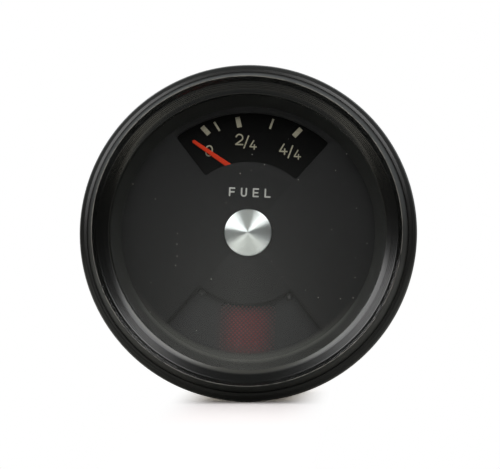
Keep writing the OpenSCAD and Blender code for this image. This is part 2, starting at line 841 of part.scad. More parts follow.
module resistor_clips() {
    low = back_inner_h + insulator_t;
    x = resistor_l / 2 - 0.5 - resistor_end_l / 2;
    color([0.72, 0.6, 0.35]) upright() for (side = [-1, 1])
        translate([side * x - clip_t / 2, terminal_y - clip_w / 2, low]) difference() {
            cube([clip_t, clip_w, resistor_h - low]);
            translate([-1, clip_w / 2, resistor_h - low]) rotate([0, 90, 0])
                cylinder(r = resistor_end_r, h = clip_t + 2);
        }
}

// A straight run of sleeved wire
module lead_run(a, b, r) {
    d = b - a;
    translate(a) rotate([0, acos(d[2] / norm(d)), atan2(d[1], d[0])]) cylinder(r = r, h = norm(d));
}

// A lead stands up from its soldered end, crosses to the shield's hole and goes in to the coil
module lead_to_coil(from, side) {
    coil_end = [side * lead_x, pivot_y - lead_drop, movement_h - outer_coil_z - winding_t - seat_gap];
    lift = [0, 0, lead_r];
    over_resistor = resistor_h + resistor_end_r + lead_r + free_gap;
    first_bend = [from[0], from[1], max(from[2] + lead_rise, over_resistor)];
    second_bend = [coil_end[0], coil_end[1], shield_back_h - lead_rise];
    lead_run(from, first_bend + lift, lead_r);
    lead_run(first_bend, second_bend, lead_r * 0.9);
    lead_run(second_bend - lift, coil_end, lead_r);
}

module supply_lead() {
    x = -(resistor_l / 2 - 0.5 - resistor_end_l / 2);
    color([0.6, 0.1, 0.08]) upright()
        lead_to_coil([x, terminal_y, resistor_h + resistor_end_r], -1);
}

module sender_lead() {
    color([0.45, 0.27, 0.12]) upright()
        lead_to_coil([terminal_x, terminal_y - rivet_drop, back_inner_h + insulator_t + rivet_head_t], 1);
}

// Case and back

module case_can() {
    bore_corner_r = case_corner_r - case_t;
    corner = [case_r - case_corner_r, back_h + case_corner_r];
    outline = concat(
        [[0, back_h]],
        arc(corner, case_corner_r, -90, 0),
        [[case_r, neck_back_h - neck_taper_l], [neck_r, neck_back_h],
         [neck_r, flange_h], [flange_r, flange_h],
         [flange_r, flange_top_h], [case_bore_r, flange_top_h]],
        reversed(arc(corner, bore_corner_r, -90, 0)),
        [[0, back_inner_h]]
    );
    hole_h = case_t + 2;
    color([0.75, 0.74, 0.68]) upright() difference() {
        rotate_extrude() polygon(outline);
        translate([0, 0, back_h - 1]) {
            for (at = [dial_lamp_at, warning_lamp_at])
                translate([at[0], at[1], 0]) cylinder(r = lamp_hole_r, h = hole_h);
            at_studs() cylinder(r = stud_r + run_gap, h = hole_h);
            for (side = [-1, 1]) translate([side * terminal_x, terminal_y - rivet_drop, 0])
                cylinder(r = rivet_shank_r + 0.9, h = hole_h);
            translate([earth_at[0], earth_at[1], 0]) cylinder(r = rivet_shank_r + run_gap, h = hole_h);
        }
    }
}

rivet_shank_r = 1.2;
rivet_head_r = 2;
rivet_head_t = 0.8;

// The insulating plates hold the two live rivets clear of the case
module insulating_plate(low, t) {
    translate([-plate_w / 2, terminal_y - plate_h / 2, low]) difference() {
        cube([plate_w, plate_h, t]);
        for (side = [-1, 1]) translate([plate_w / 2 + side * terminal_x, plate_h / 2 - rivet_drop, -1])
            cylinder(r = rivet_shank_r + run_gap, h = t + 2);
    }
}

module terminal_plate() {
    color([0.4, 0.24, 0.12]) upright() insulating_plate(back_h - plate_t, plate_t);
}

module inner_insulator() {
    color([0.4, 0.24, 0.12]) upright() insulating_plate(back_inner_h, insulator_t);
}

// A spade terminal: a riveted foot and a blade that stands out to the back, its rivet hole at the origin
module spade() {
    blade_y = foot_l - rivet_drop + 0.2;
    difference() {
        union() {
            translate([-spade_w / 2, -2.4, -spade_t]) cube([spade_w, blade_y + 2.4, spade_t]);
            translate([0, blade_y, 0]) rotate([90, 0, 0]) linear_extrude(spade_t)
                polygon([
                    [-spade_w / 2, 0], [spade_w / 2, 0], [spade_w / 2, -spade_l + 0.8],
                    [spade_w / 2 - 1, -spade_l], [-spade_w / 2 + 1, -spade_l], [-spade_w / 2, -spade_l + 0.8]
                ]);
        }
        translate([0, 0, -spade_t - 1]) cylinder(r = rivet_shank_r + run_gap, h = spade_t + 2);
        translate([0, blade_y + 1, -spade_l / 2 - 0.6]) rotate([90, 0, 0])
            cylinder(r = 0.9, h = spade_t + 2);
    }
}

module supply_terminal() {
    color([0.8, 0.68, 0.35]) upright()
        translate([-terminal_x, terminal_y - rivet_drop, back_h - plate_t]) spade();
}

module sender_terminal() {
    color([0.8, 0.68, 0.35]) upright()
        translate([terminal_x, terminal_y - rivet_drop, back_h - plate_t]) spade();
}

module earth_terminal() {
    color([0.72, 0.72, 0.7]) upright() translate([earth_at[0], earth_at[1], back_h]) spade();
}

// A rivet through a stack that reaches from low to high
module rivet(low, high) {
    translate([0, 0, low - rivet_head_t]) cylinder(r = rivet_head_r, h = rivet_head_t);
    translate([0, 0, low]) cylinder(r = rivet_shank_r, h = high - low);
    translate([0, 0, high]) cylinder(r = rivet_head_r, h = rivet_head_t);
}

module terminal_rivets() {
    color([0.8, 0.68, 0.35]) upright() {
        for (side = [-1, 1]) translate([side * terminal_x, terminal_y - rivet_drop, 0])
            rivet(back_h - plate_t - spade_t, back_inner_h + insulator_t);
        translate([earth_at[0], earth_at[1], 0]) rivet(back_h - spade_t, back_inner_h);
    }
}

module mounting_studs() {
    end_chamfer = 0.5;
    color([0.78, 0.76, 0.68]) upright() at_studs() {
        translate([0, 0, carrier_h]) cylinder(r = stud_head_r, h = stud_head_t);
        translate([0, 0, back_h - stud_out]) rotate_extrude() polygon([
            [0, 0], [stud_r - end_chamfer, 0], [stud_r, end_chamfer],
            [stud_r, carrier_h - back_h + stud_out], [0, carrier_h - back_h + stud_out]
        ]);
    }
}

module stud_sleeves() {
    color([0.72, 0.72, 0.72]) upright() at_studs()
        translate([0, 0, back_inner_h]) ring(stud_r + 1.5, stud_r + run_gap, carrier_back_h - back_inner_h);
}

module stud_lock_nuts() {
    color([0.78, 0.76, 0.68]) upright() at_studs()
        translate([0, 0, back_h - lock_nut_h]) difference() {
            cylinder(d = lock_nut_af / cos(30), h = lock_nut_h, $fn = 6);
            translate([0, 0, -1]) cylinder(r = stud_r + run_gap, h = lock_nut_h + 2);
        }
}

washer_h = back_h - lock_nut_h - washer_t;

module washer(side) {
    color([0.76, 0.76, 0.72]) upright()
        translate([side * stud_x, 0, washer_h + seat_gap])
            ring(thumb_nut_d / 2 - 0.4, stud_r + 0.15, washer_t - 2 * seat_gap);
}

// A thumb nut with straight knurling round its rim and a raised collar towards the case
module thumb_nut(side) {
    r = thumb_nut_d / 2;
    collar_h = 1;
    color([0.82, 0.7, 0.4]) upright() translate([side * stud_x, 0, washer_h - thumb_nut_h])
        difference() {
            rotate_extrude() polygon([
                [stud_r + run_gap, 0], [r - 0.5, 0], [r, 0.5],
                [r, thumb_nut_h - collar_h - 0.4], [r - 0.4, thumb_nut_h - collar_h],
                [r * 0.68, thumb_nut_h - collar_h], [r * 0.68, thumb_nut_h], [stud_r + run_gap, thumb_nut_h]
            ]);
            for (i = [0 : knurl_count - 1]) rotate(i * 360 / knurl_count)
                translate([r + 0.15, 0, -1]) rotate(45)
                    cylinder(r = knurl_depth, h = thumb_nut_h - collar_h + 1, $fn = 4);
        }
}

module washer_left() washer(-1);
module thumb_nut_left() thumb_nut(-1);
module washer_right() washer(1);
module thumb_nut_right() thumb_nut(1);

// Lamps, each drawn with the case's back at z = 0

module at_lamp(at) translate([at[0], at[1], back_h]) children();

module lamp_holder() {
    slit_w = 1;
    difference() {
        union() {
            translate([0, 0, -holder_flange_t]) cylinder(r = holder_flange_r, h = holder_flange_t);
            translate([0, 0, -holder_barrel_h]) cylinder(r = holder_barrel_r, h = holder_barrel_h);
            cylinder(r = lamp_hole_r - seat_gap, h = holder_sleeve_h);
        }
        translate([0, 0, -holder_floor_h]) cylinder(d = bulb_cap_d + 2 * seat_gap, h = 40);
        for (turn = [0, 90]) rotate(turn)
            translate([-lamp_hole_r - 1, -slit_w / 2, 1.5]) cube([2 * lamp_hole_r + 2, slit_w, holder_sleeve_h]);
    }
}

module lamp_lug() {
    translate([-lug_w / 2, -0.4, -holder_barrel_h - lug_l]) difference() {
        cube([lug_w, 0.8, lug_l]);
        translate([lug_w / 2, -1, 2.6]) rotate([-90, 0, 0]) cylinder(r = 0.8, h = 3);
    }
}

module bulb_cap() {
    translate([0, 0, -holder_floor_h]) cylinder(d = bulb_cap_d, h = holder_floor_h + holder_sleeve_h);
}

module bulb_glass() {
    r = bulb_glass_d / 2;
    translate([0, 0, holder_sleeve_h]) rotate_extrude()
        polygon(concat([[0, 0], [r * 0.9, 0], [r, 1]], arc([0, bulb_straight_h], r, 0, 90, 12)));
}

module dial_lamp_holder() color([0.85, 0.84, 0.78]) upright() at_lamp(dial_lamp_at) lamp_holder();
module dial_lamp_lug() color([0.8, 0.68, 0.35]) upright() at_lamp(dial_lamp_at) lamp_lug();
module dial_bulb_cap() color([0.75, 0.7, 0.5]) upright() at_lamp(dial_lamp_at) bulb_cap();
module dial_bulb_glass() color([0.9, 0.92, 0.95, 0.4]) upright() at_lamp(dial_lamp_at) bulb_glass();
module warning_lamp_holder() color([0.6, 0.1, 0.08]) upright() at_lamp(warning_lamp_at) lamp_holder();
module warning_lamp_lug() color([0.8, 0.68, 0.35]) upright() at_lamp(warning_lamp_at) lamp_lug();
module warning_bulb_cap() color([0.75, 0.7, 0.5]) upright() at_lamp(warning_lamp_at) bulb_cap();
module warning_bulb_glass() color([0.9, 0.92, 0.95, 0.4]) upright() at_lamp(warning_lamp_at) bulb_glass();

bezel_ring();
panel_seal();
glass_gasket();
front_glass();
depth_ring();
dial_mask();
centre_cap();
cap_clip();
dial_letters();
scale_plate();
scale_marks();
needle_stops();
warning_screen();
screen_rivets();
red_filter();
lamp_tunnel();
dial_carrier();
pointer();
pointer_hub();
spindle();
rotor_magnet();
former_front();
former_rear();
empty_coil();
full_coil();
front_bearing();
rear_bearing();
magnetic_shield();
shield_screws();
ballast_resistor();
resistor_ends();
resistor_clips();
supply_lead();
sender_lead();
case_can();
terminal_plate();
inner_insulator();
supply_terminal();
sender_terminal();
earth_terminal();
terminal_rivets();
mounting_studs();
stud_sleeves();
stud_lock_nuts();
washer_left();
thumb_nut_left();
washer_right();
thumb_nut_right();
dial_lamp_holder();
dial_lamp_lug();
dial_bulb_cap();
dial_bulb_glass();
warning_lamp_holder();
warning_lamp_lug();
warning_bulb_cap();
warning_bulb_glass();
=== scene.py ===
import json
import math

import bmesh
import bpy
from mathutils import Matrix, Vector


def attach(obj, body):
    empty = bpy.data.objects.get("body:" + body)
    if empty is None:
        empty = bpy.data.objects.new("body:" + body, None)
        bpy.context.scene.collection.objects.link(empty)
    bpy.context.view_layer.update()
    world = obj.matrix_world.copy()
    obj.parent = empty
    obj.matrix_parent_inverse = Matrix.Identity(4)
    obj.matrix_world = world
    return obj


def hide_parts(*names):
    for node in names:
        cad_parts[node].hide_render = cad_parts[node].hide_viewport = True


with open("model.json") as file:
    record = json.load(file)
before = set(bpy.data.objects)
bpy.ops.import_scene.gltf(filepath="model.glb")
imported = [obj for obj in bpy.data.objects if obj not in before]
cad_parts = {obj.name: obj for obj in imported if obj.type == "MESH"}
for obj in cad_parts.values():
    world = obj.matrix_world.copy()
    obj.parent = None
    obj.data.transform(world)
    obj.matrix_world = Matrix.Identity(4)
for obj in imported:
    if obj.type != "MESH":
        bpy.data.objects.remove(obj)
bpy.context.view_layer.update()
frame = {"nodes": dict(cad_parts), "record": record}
nodes = frame["nodes"]
mm = 0.001
print("frame loaded:", len(nodes), "nodes")


# Small helpers for node trees


def put(tree, kind, inputs=None, **settings):
    node = tree.nodes.new(kind)
    for key, value in settings.items():
        setattr(node, key, value)
    for key, value in (inputs or {}).items():
        if isinstance(value, bpy.types.NodeSocket):
            tree.links.new(value, node.inputs[key])
        else:
            node.inputs[key].default_value = value
    return node


def made(tree, kind, inputs=None, **settings):  # the first output of a new node
    return put(tree, kind, inputs, **settings).outputs[0]


def spaced(values):  # sockets' names have spaces where keywords have underscores
    return {key.replace("_", " "): value for key, value in values.items()}


def feed(tree, sockets, **values):
    for key, value in spaced(values).items():
        tree.links.new(value, sockets[key])


def calc(tree, operation, a, b=None, c=None, clamp=False):
    given = {i: v for i, v in enumerate((a, b, c)) if v is not None}
    return made(tree, "ShaderNodeMath", given, operation=operation, use_clamp=clamp)


def plus(tree, a, b):
    return calc(tree, "ADD", a, b)


def minus(tree, a, b):
    return calc(tree, "SUBTRACT", a, b)


def times(tree, a, b):
    return calc(tree, "MULTIPLY", a, b)


def over(tree, a, b):
    return calc(tree, "DIVIDE", a, b)


def timesPlus(tree, a, b, c, clamp=False):
    return calc(tree, "MULTIPLY_ADD", a, b, c, clamp)


def hypotenuse(tree, a, b):
    return calc(tree, "SQRT", timesPlus(tree, a, a, times(tree, b, b)))


def between(tree, value, low, high, toLow=0.0, toHigh=1.0):  # a smooth step from low to high
    given = {"Value": value, "From Min": low, "From Max": high, "To Min": toLow, "To Max": toHigh}
    return made(tree, "ShaderNodeMapRange", given, interpolation_type="SMOOTHSTEP")


def scaled(tree, colour, *tones):
    for tone in tones:
        colour = made(tree, "ShaderNodeVectorMath", {0: colour, "Scale": tone}, operation="SCALE")
    return colour


def blended(tree, factor, a, b):  # two numbers
    return made(tree, "ShaderNodeMix", {0: factor, 2: a, 3: b})


def mixed(tree, factor, a, b):  # two colours
    mix = put(tree, "ShaderNodeMix", {0: factor}, data_type="RGBA")
    for index, value in ((6, a), (7, b)):
        if isinstance(value, bpy.types.NodeSocket):
            tree.links.new(value, mix.inputs[index])
        else:
            mix.inputs[index].default_value = (*value, 1.0)
    return mix.outputs[2]


def axesOf(tree, vector):
    return put(tree, "ShaderNodeSeparateXYZ", {0: vector}).outputs


def combined(tree, **axes):
    return made(tree, "ShaderNodeCombineXYZ", axes)


def objectPlace(tree):
    return put(tree, "ShaderNodeTexCoord").outputs["Object"]


# Camera, from the fit to the photograph's circles

viewpoint = {
    "azimuth": 3.139,
    "elevation": -4.529,
    "roll": 2.6,
    "distance": 0.66,
    "lens": 186.06,
    "sensor": 36,
    "clip": (0.01, 20),
    "right": 0.437 * mm,
    "up": -0.352 * mm,
}


def aimCamera(values):
    turn, rise, roll = (math.radians(values[k]) for k in ("azimuth", "elevation", "roll"))
    flat = math.cos(rise)
    back = Vector((math.sin(turn) * flat, -math.cos(turn) * flat, math.sin(rise)))
    level = Vector((math.cos(turn), math.sin(turn), 0))
    plumb = back.cross(level)
    right = level * math.cos(roll) + plumb * math.sin(roll)
    up = plumb * math.cos(roll) - level * math.sin(roll)
    camera = bpy.data.objects.new("camera", bpy.data.cameras.new("camera"))
    camera.data.lens = values["lens"]
    camera.data.sensor_width = values["sensor"]
    camera.data.clip_start, camera.data.clip_end = values["clip"]
    place = back * values["distance"] + right * values["right"] + up * values["up"]
    turned = Matrix((right, up, back)).transposed().to_4x4()
    camera.matrix_world = Matrix.Translation(place) @ turned
    bpy.context.scene.collection.objects.link(camera)
    bpy.context.scene.camera = camera


aimCamera(viewpoint)
print("camera placed")


# Floor, world and lamps

studio = {
    "rimDrop": 42.756 * mm,  # from the gauge's axis to the surface that its rim stands on
    "lean": 5.36,
    "floorRoll": 2.5,
    "floorRadius": 0.3,
    "floorSides": 96,
    "floorWhite": (3.4, 3.1, 3.1),
    "floorGrey": (0.72, 0.72, 0.72),
    "floorNear": (1.2, 1.16, 1.08),  # what shiny pieces see of the floor before the gauge
    "nearStep": (-0.03, -0.06),
    "floorShine": (7.4, 6.8, 5.8),  # and of the floor further off
    "shineStep": (-0.19, -0.22),
    "shadowHalf": (8 * mm, 21 * mm),  # how far to each side the floor shows the shadow
    "lampPower": 2.35,
    "lampSize": 0.41,
    "lampDistance": 0.7,
    "lampDirections": [(-0.639, -0.616, 0.456), (0.44, -0.616, 0.652)],
}


def makeFloor(values):
    lean, roll = math.radians(values["lean"]), math.radians(values["floorRoll"])
    plumb = Vector((math.sin(roll), 0, -math.cos(roll)))
    down = plumb * math.cos(lean) + Vector((0, math.sin(lean), 0))
    facing = (-down).to_track_quat("Z", "Y").to_matrix().to_4x4()
    mesh = bpy.data.meshes.new("floor")
    shape = bmesh.new()
    bmesh.ops.create_circle(shape, cap_ends=True, segments=values["floorSides"],
                            radius=values["floorRadius"])
    shape.transform(Matrix.Translation(down * values["rimDrop"]) @ facing)
    shape.to_mesh(mesh)
    shape.free()
    floor = bpy.data.objects.new("floor", mesh)
    bpy.context.scene.collection.objects.link(floor)
    material = bpy.data.materials.new("whiteTable")
    material.use_nodes = True
    tree = material.node_tree
    tree.nodes.clear()
    rays = put(tree, "ShaderNodeLightPath").outputs
    axes = axesOf(tree, objectPlace(tree))
    isNear = between(tree, axes["Y"], *values["nearStep"])
    isFar = between(tree, axes["Y"], *values["shineStep"])
    near = mixed(tree, isNear, values["floorNear"], values["floorGrey"])
    shine = mixed(tree, isFar, near, values["floorShine"])
    lit = mixed(tree, rays["Is Glossy Ray"], values["floorGrey"], shine)
    seen = mixed(tree, rays["Is Camera Ray"], lit, values["floorWhite"])
    table = made(tree, "ShaderNodeBsdfDiffuse", {"Color": seen})
    aside = calc(tree, "ABSOLUTE", timesPlus(tree, axes["Z"], math.tan(roll), axes["X"]))
    clean = times(tree, between(tree, aside, *values["shadowHalf"]), rays["Is Camera Ray"])
    white = made(tree, "ShaderNodeEmission", {"Strength": 1.0})
    shown = made(tree, "ShaderNodeMixShader", {0: clean, 1: table, 2: white})
    behind = put(tree, "ShaderNodeNewGeometry").outputs["Backfacing"]
    clear = made(tree, "ShaderNodeBsdfTransparent")
    either = made(tree, "ShaderNodeMixShader", {0: behind, 1: shown, 2: clear})
    put(tree, "ShaderNodeOutputMaterial", {"Surface": either})
    mesh.materials.append(material)
    return floor


# What shiny pieces see of the room. A ramp runs over one part of the direction, from its first
# number to its second. Its levels at both ends follow, if they aren't 0 and 1.
room = {
    "ambient": 0.35,
    "warmLight": (1.0, 0.985, 0.9),
    "coolLight": (0.95, 1.0, 1.0),
    "warmToCool": (-0.1, 0.3),
    "aside": 0.058,
    "frontLeft": (-0.46, -0.26),
    "frontRight": (0.33, 0.14),
    "sideLeft": (-0.6, -0.45),
    "sideRight": (-0.2, -0.32, 0.0, 0.34),
    "table": (-0.15, -0.06, 2.7, 0.0),
    "tableEdge": (0.045, 0.125, 0.5, 0.0),  # the pale table's edge, then the dim room
    "edgeAside": (-0.035, 0.06, 1.3, 0.2),
    "wall": (0.16, 0.42, 0.01, 0.18),
    "frontToRear": (-0.35, 0.25),
    "rear": (0.0, 0.5, 0.1, 0.3),
    "rearMiddle": (0.4, 0.8, 1.0, 2.4),
}


def makeWorld(values):
    world = bpy.data.worlds.new("studioRoom")
    bpy.context.scene.world = world
    world.use_nodes = True
    tree = world.node_tree
    tree.nodes.clear()
    x, y, z = axesOf(tree, put(tree, "ShaderNodeTexCoord").outputs["Generated"])

    def ramp(value, name):
        return between(tree, value, *values[name])

    aside = calc(tree, "ABSOLUTE", plus(tree, x, values["aside"]))
    ahead = times(tree, ramp(x, "frontLeft"), ramp(x, "frontRight"))
    leftSide = times(tree, ramp(x, "sideLeft"), ramp(x, "sideRight"))
    edge = times(tree, ramp(z, "tableEdge"), ramp(aside, "edgeAside"))
    low = times(tree, plus(tree, ramp(z, "table"), edge), ahead)
    front = plus(tree, low, plus(tree, ramp(z, "wall"), leftSide))
    back = ramp(y, "frontToRear")
    rear = times(tree, ramp(z, "rear"), ramp(y, "rearMiddle"))
    path = put(tree, "ShaderNodeLightPath").outputs
    through = times(tree, path["Is Transmission Ray"], back)  # what stands behind clear pieces
    seen = calc(tree, "MAXIMUM", path["Is Camera Ray"], through)
    bounced = calc(tree, "MAXIMUM", path["Is Glossy Ray"], path["Is Transmission Ray"])
    level = blended(tree, bounced, values["ambient"], blended(tree, back, front, rear))
    tint = mixed(tree, ramp(z, "warmToCool"), values["warmLight"], values["coolLight"])
    shown = {"Color": mixed(tree, seen, tint, (1, 1, 1)),
             "Strength": blended(tree, seen, level, 1.0)}
    put(tree, "ShaderNodeOutputWorld", {"Surface": made(tree, "ShaderNodeBackground", shown)})


def hangLamps(values, floor):
    unlit = bpy.data.collections.new("litByTheRoomAlone")
    unlit.objects.link(floor)
    unlit.collection_objects[0].light_linking.link_state = "EXCLUDE"
    for number, way in enumerate(values["lampDirections"]):
        lamp = bpy.data.lights.new(f"softbox{number}", "AREA")
        lamp.shape = "SQUARE"
        lamp.size = values["lampSize"]
        lamp.energy = values["lampPower"]
        box = bpy.data.objects.new(f"softbox{number}", lamp)
        place = Vector(way).normalized()
        turned = place.to_track_quat("Z", "Y").to_matrix().to_4x4()
        box.matrix_world = Matrix.Translation(place * values["lampDistance"]) @ turned
        box.visible_camera = False
        box.light_linking.receiver_collection = unlit
        bpy.context.scene.collection.objects.link(box)


table = makeFloor(studio)
makeWorld(room)
hangLamps(studio, table)
bpy.context.scene.view_settings.view_transform = "Standard"
print("floor, world and lamps ready")


# Shader groups: effects that several finishes share


def shaderGroup(name, inputs, outputs):
    tree = bpy.data.node_groups.new(name, "ShaderNodeTree")
    for label, value in inputs.items():
        socket = tree.interface.new_socket(label, in_out="INPUT", socket_type="NodeSocketFloat")
        socket.default_value = value
    for label in outputs:
        tree.interface.new_socket(label, in_out="OUTPUT", socket_type="NodeSocketFloat")
    return tree, tree.nodes.new("NodeGroupInput").outputs, tree.nodes.new("NodeGroupOutput").inputs


def noiseAt(tree, vector, scale, detail=3.0, roughness=0.55):
    given = {"Vector": vector, "Scale": scale, "Detail": detail, "Roughness": roughness}
    return put(tree, "ShaderNodeTexNoise", given).outputs["Fac"]


def makeFineGrain():  # even grain with slow clouds under it
    start = {"Scale": 3000.0, "Amount": 0.15, "Clouds": 0.1, "Roughness": 0.5,
             "Roughness Range": 0.1}
    tree, given, gives = shaderGroup("fineGrain", start, ["Tone", "Roughness", "Height"])
    place = objectPlace(tree)
    grain = noiseAt(tree, place, given["Scale"])
    cloudScale = times(tree, given["Scale"], 0.045)
    clouds = noiseAt(tree, place, cloudScale, detail=4.0)
    grainTone = times(tree, minus(tree, grain, 0.5), given["Amount"])
    cloudTone = times(tree, minus(tree, clouds, 0.5), given["Clouds"])
    both = plus(tree, grainTone, cloudTone)
    tone = timesPlus(tree, both, 2.0, 1.0)
    spread = times(tree, minus(tree, clouds, 0.5), given["Roughness Range"])
    rough = timesPlus(tree, spread, 2.0, given["Roughness"])
    feed(tree, gives, Tone=tone, Roughness=rough, Height=grain)
    return tree


def makeDustSpecks():  # sparse small specks of dust
    start = {"Scale": 400.0, "Share": 0.1, "Size": 0.12}
    tree, given, gives = shaderGroup("dustSpecks", start, ["Mask"])
    axes = axesOf(tree, objectPlace(tree))
    flat = combined(tree, X=axes["X"], Y=axes["Z"])
    cells = put(tree, "ShaderNodeTexVoronoi", {"Vector": flat, "Scale": given["Scale"]},
                voronoi_dimensions="2D")
    pick = axesOf(tree, cells.outputs["Color"])
    chosen = calc(tree, "LESS_THAN", pick["X"], given["Share"])
    size = times(tree, given["Size"], timesPlus(tree, pick["Y"], 0.7, 0.3))
    near = calc(tree, "LESS_THAN", cells.outputs["Distance"], size)
    feed(tree, gives, Mask=times(tree, chosen, near))
    return tree


def makeSpinMarks():  # fine marks that run round the gauge's axis
    start = {"Across": 2500.0, "Along": 25.0, "Amount": 0.2}
    tree, given, gives = shaderGroup("spinMarks", start, ["Tone", "Mask", "Height", "Radius"])
    axes = axesOf(tree, objectPlace(tree))
    radius = hypotenuse(tree, axes["X"], axes["Z"])
    across = times(tree, plus(tree, radius, axes["Y"]), given["Across"])
    x = times(tree, axes["X"], given["Along"])
    z = times(tree, axes["Z"], given["Along"])
    place = combined(tree, X=x, Y=across, Z=z)
    marks = noiseAt(tree, place, 1.0, detail=4.0, roughness=0.65)
    tone = timesPlus(tree, minus(tree, marks, 0.5), given["Amount"], 0.5)
    feed(tree, gives, Tone=times(tree, tone, 2.0),
         Mask=between(tree, marks, 0.58, 0.72),
         Height=marks,
         Radius=radius)
    return tree


def makeRimWearAndHighlight():  # wear on an edge that runs round the axis at a radius and a level, and a painted highlight on the bezel's inner lip
    start = {"Radius": 0.0393, "Level": -0.009, "Width": 0.0003, "Break Up": 0.5}
    tree, given, gives = shaderGroup("rimWearAndHighlight", start, ["Mask"])
    place = objectPlace(tree)
    axes = axesOf(tree, place)
    outward = minus(tree, hypotenuse(tree, axes["X"], axes["Z"]), given["Radius"])
    level = minus(tree, axes["Y"], given["Level"])
    distance = hypotenuse(tree, outward, level)
    rough = noiseAt(tree, place, 300.0, detail=5.0, roughness=0.7)
    broken = times(tree, minus(tree, rough, 0.5), given["Break Up"])
    reach = timesPlus(tree, broken, 3.0, 1.0)
    share = over(tree, distance, times(tree, reach, given["Width"]))
    feed(tree, gives, Mask=between(tree, share, 1.0, 0.6))
    return tree


def makeWindowShade():  # a mask for painted shade: 0 along the top and the sides of the lower window, 1 away from them
    start = {"Top": 0.0185, "Half Angle": 39.5, "Reach": 0.0008}
    tree, given, gives = shaderGroup("windowShade", start, ["Mask"])
    axes = axesOf(tree, objectPlace(tree))
    low = times(tree, axes["Z"], -1.0)
    radius = hypotenuse(tree, axes["X"], low)
    turn = calc(tree, "ARCTAN2", calc(tree, "ABSOLUTE", axes["X"]), low)
    left = minus(tree, calc(tree, "RADIANS", given["Half Angle"]), turn)
    side = times(tree, radius, calc(tree, "SINE", left))
    inside = calc(tree, "MINIMUM", side, minus(tree, radius, given["Top"]))
    away = over(tree, calc(tree, "ABSOLUTE", inside), given["Reach"])
    feed(tree, gives, Mask=between(tree, away, 0.15, 1.0))
    return tree


def makeSoftPatch():  # 1 inside a soft-edged rectangle about a point of the face
    start = {"X": 0.0009, "Z": -0.0245, "Half Width": 0.006, "Half Height": 0.006, "Soft": 0.002}
    tree, given, gives = shaderGroup("softPatch", start, ["Mask"])
    axes = axesOf(tree, objectPlace(tree))
    parts = []
    for axis, reach in (("X", "Half Width"), ("Z", "Half Height")):
        away = calc(tree, "ABSOLUTE", minus(tree, axes[axis], given[axis]))
        outside = over(tree, minus(tree, away, given[reach]), given["Soft"])
        parts.append(between(tree, outside, 0.5, -0.5))
    feed(tree, gives, Mask=times(tree, *parts))
    return tree


def makePaintedLowLight():  # painted light on the lower part of a ring about the axis
    start = {"Inner": 0.0316, "Outer": 0.033, "Soft": 0.0005, "High": -0.012, "Low": -0.029}
    tree, given, gives = shaderGroup("paintedLowLight", start, ["Mask"])
    axes = axesOf(tree, objectPlace(tree))
    radius = hypotenuse(tree, axes["X"], axes["Z"])
    past = over(tree, minus(tree, radius, given["Inner"]), given["Soft"])
    short = over(tree, minus(tree, given["Outer"], radius), given["Soft"])
    ring = times(tree, between(tree, past, -1.0, 1.0), between(tree, short, -1.0, 1.0))
    low = between(tree, axes["Z"], given["High"], given["Low"])
    feed(tree, gives, Mask=times(tree, ring, low))
    return tree


fineGrain = makeFineGrain()
dustSpecks = makeDustSpecks()
spinMarks = makeSpinMarks()
rimWearAndHighlight = makeRimWearAndHighlight()
windowShade = makeWindowShade()
softPatch = makeSoftPatch()
paintedLowLight = makePaintedLowLight()


def grouped(tree, group, **values):
    return put(tree, "ShaderNodeGroup", spaced(values), node_tree=group).outputs


# Finishes


def newFinish(name, **constants):  # a material with its Principled shader's own sockets set
    material = bpy.data.materials.new(name)
    material.use_nodes = True
    tree = material.node_tree
    tree.nodes.clear()
    shader = put(tree, "ShaderNodeBsdfPrincipled", spaced(constants))
    put(tree, "ShaderNodeOutputMaterial", {"Surface": shader.outputs[0]})
    return material, tree, shader.inputs


def shadeTone(tree, mask, darkest):  # full tone where the mask is 1
    return timesPlus(tree, mask, 1.0 - darkest, darkest)


def bumped(tree, height, strength, depth):
    given = {"Height": height, "Strength": strength, "Distance": depth}
    return made(tree, "ShaderNodeBump", given)


def grainFinish(name, colour, roughness, scale=3000.0, amount=0.12, clouds=0.15, bump=0.15,
                depth=0.02 * mm, **constants):
    material, tree, shader = newFinish(name, **constants)
    grain = grouped(tree, fineGrain, Scale=scale, Amount=amount, Clouds=clouds,
                    Roughness=roughness, Roughness_Range=0.08)
    feed(tree, shader, Base_Color=scaled(tree, colour, grain["Tone"]),
         Roughness=grain["Roughness"],
         Normal=bumped(tree, grain["Height"], bump, depth))
    return material, tree, shader, grain


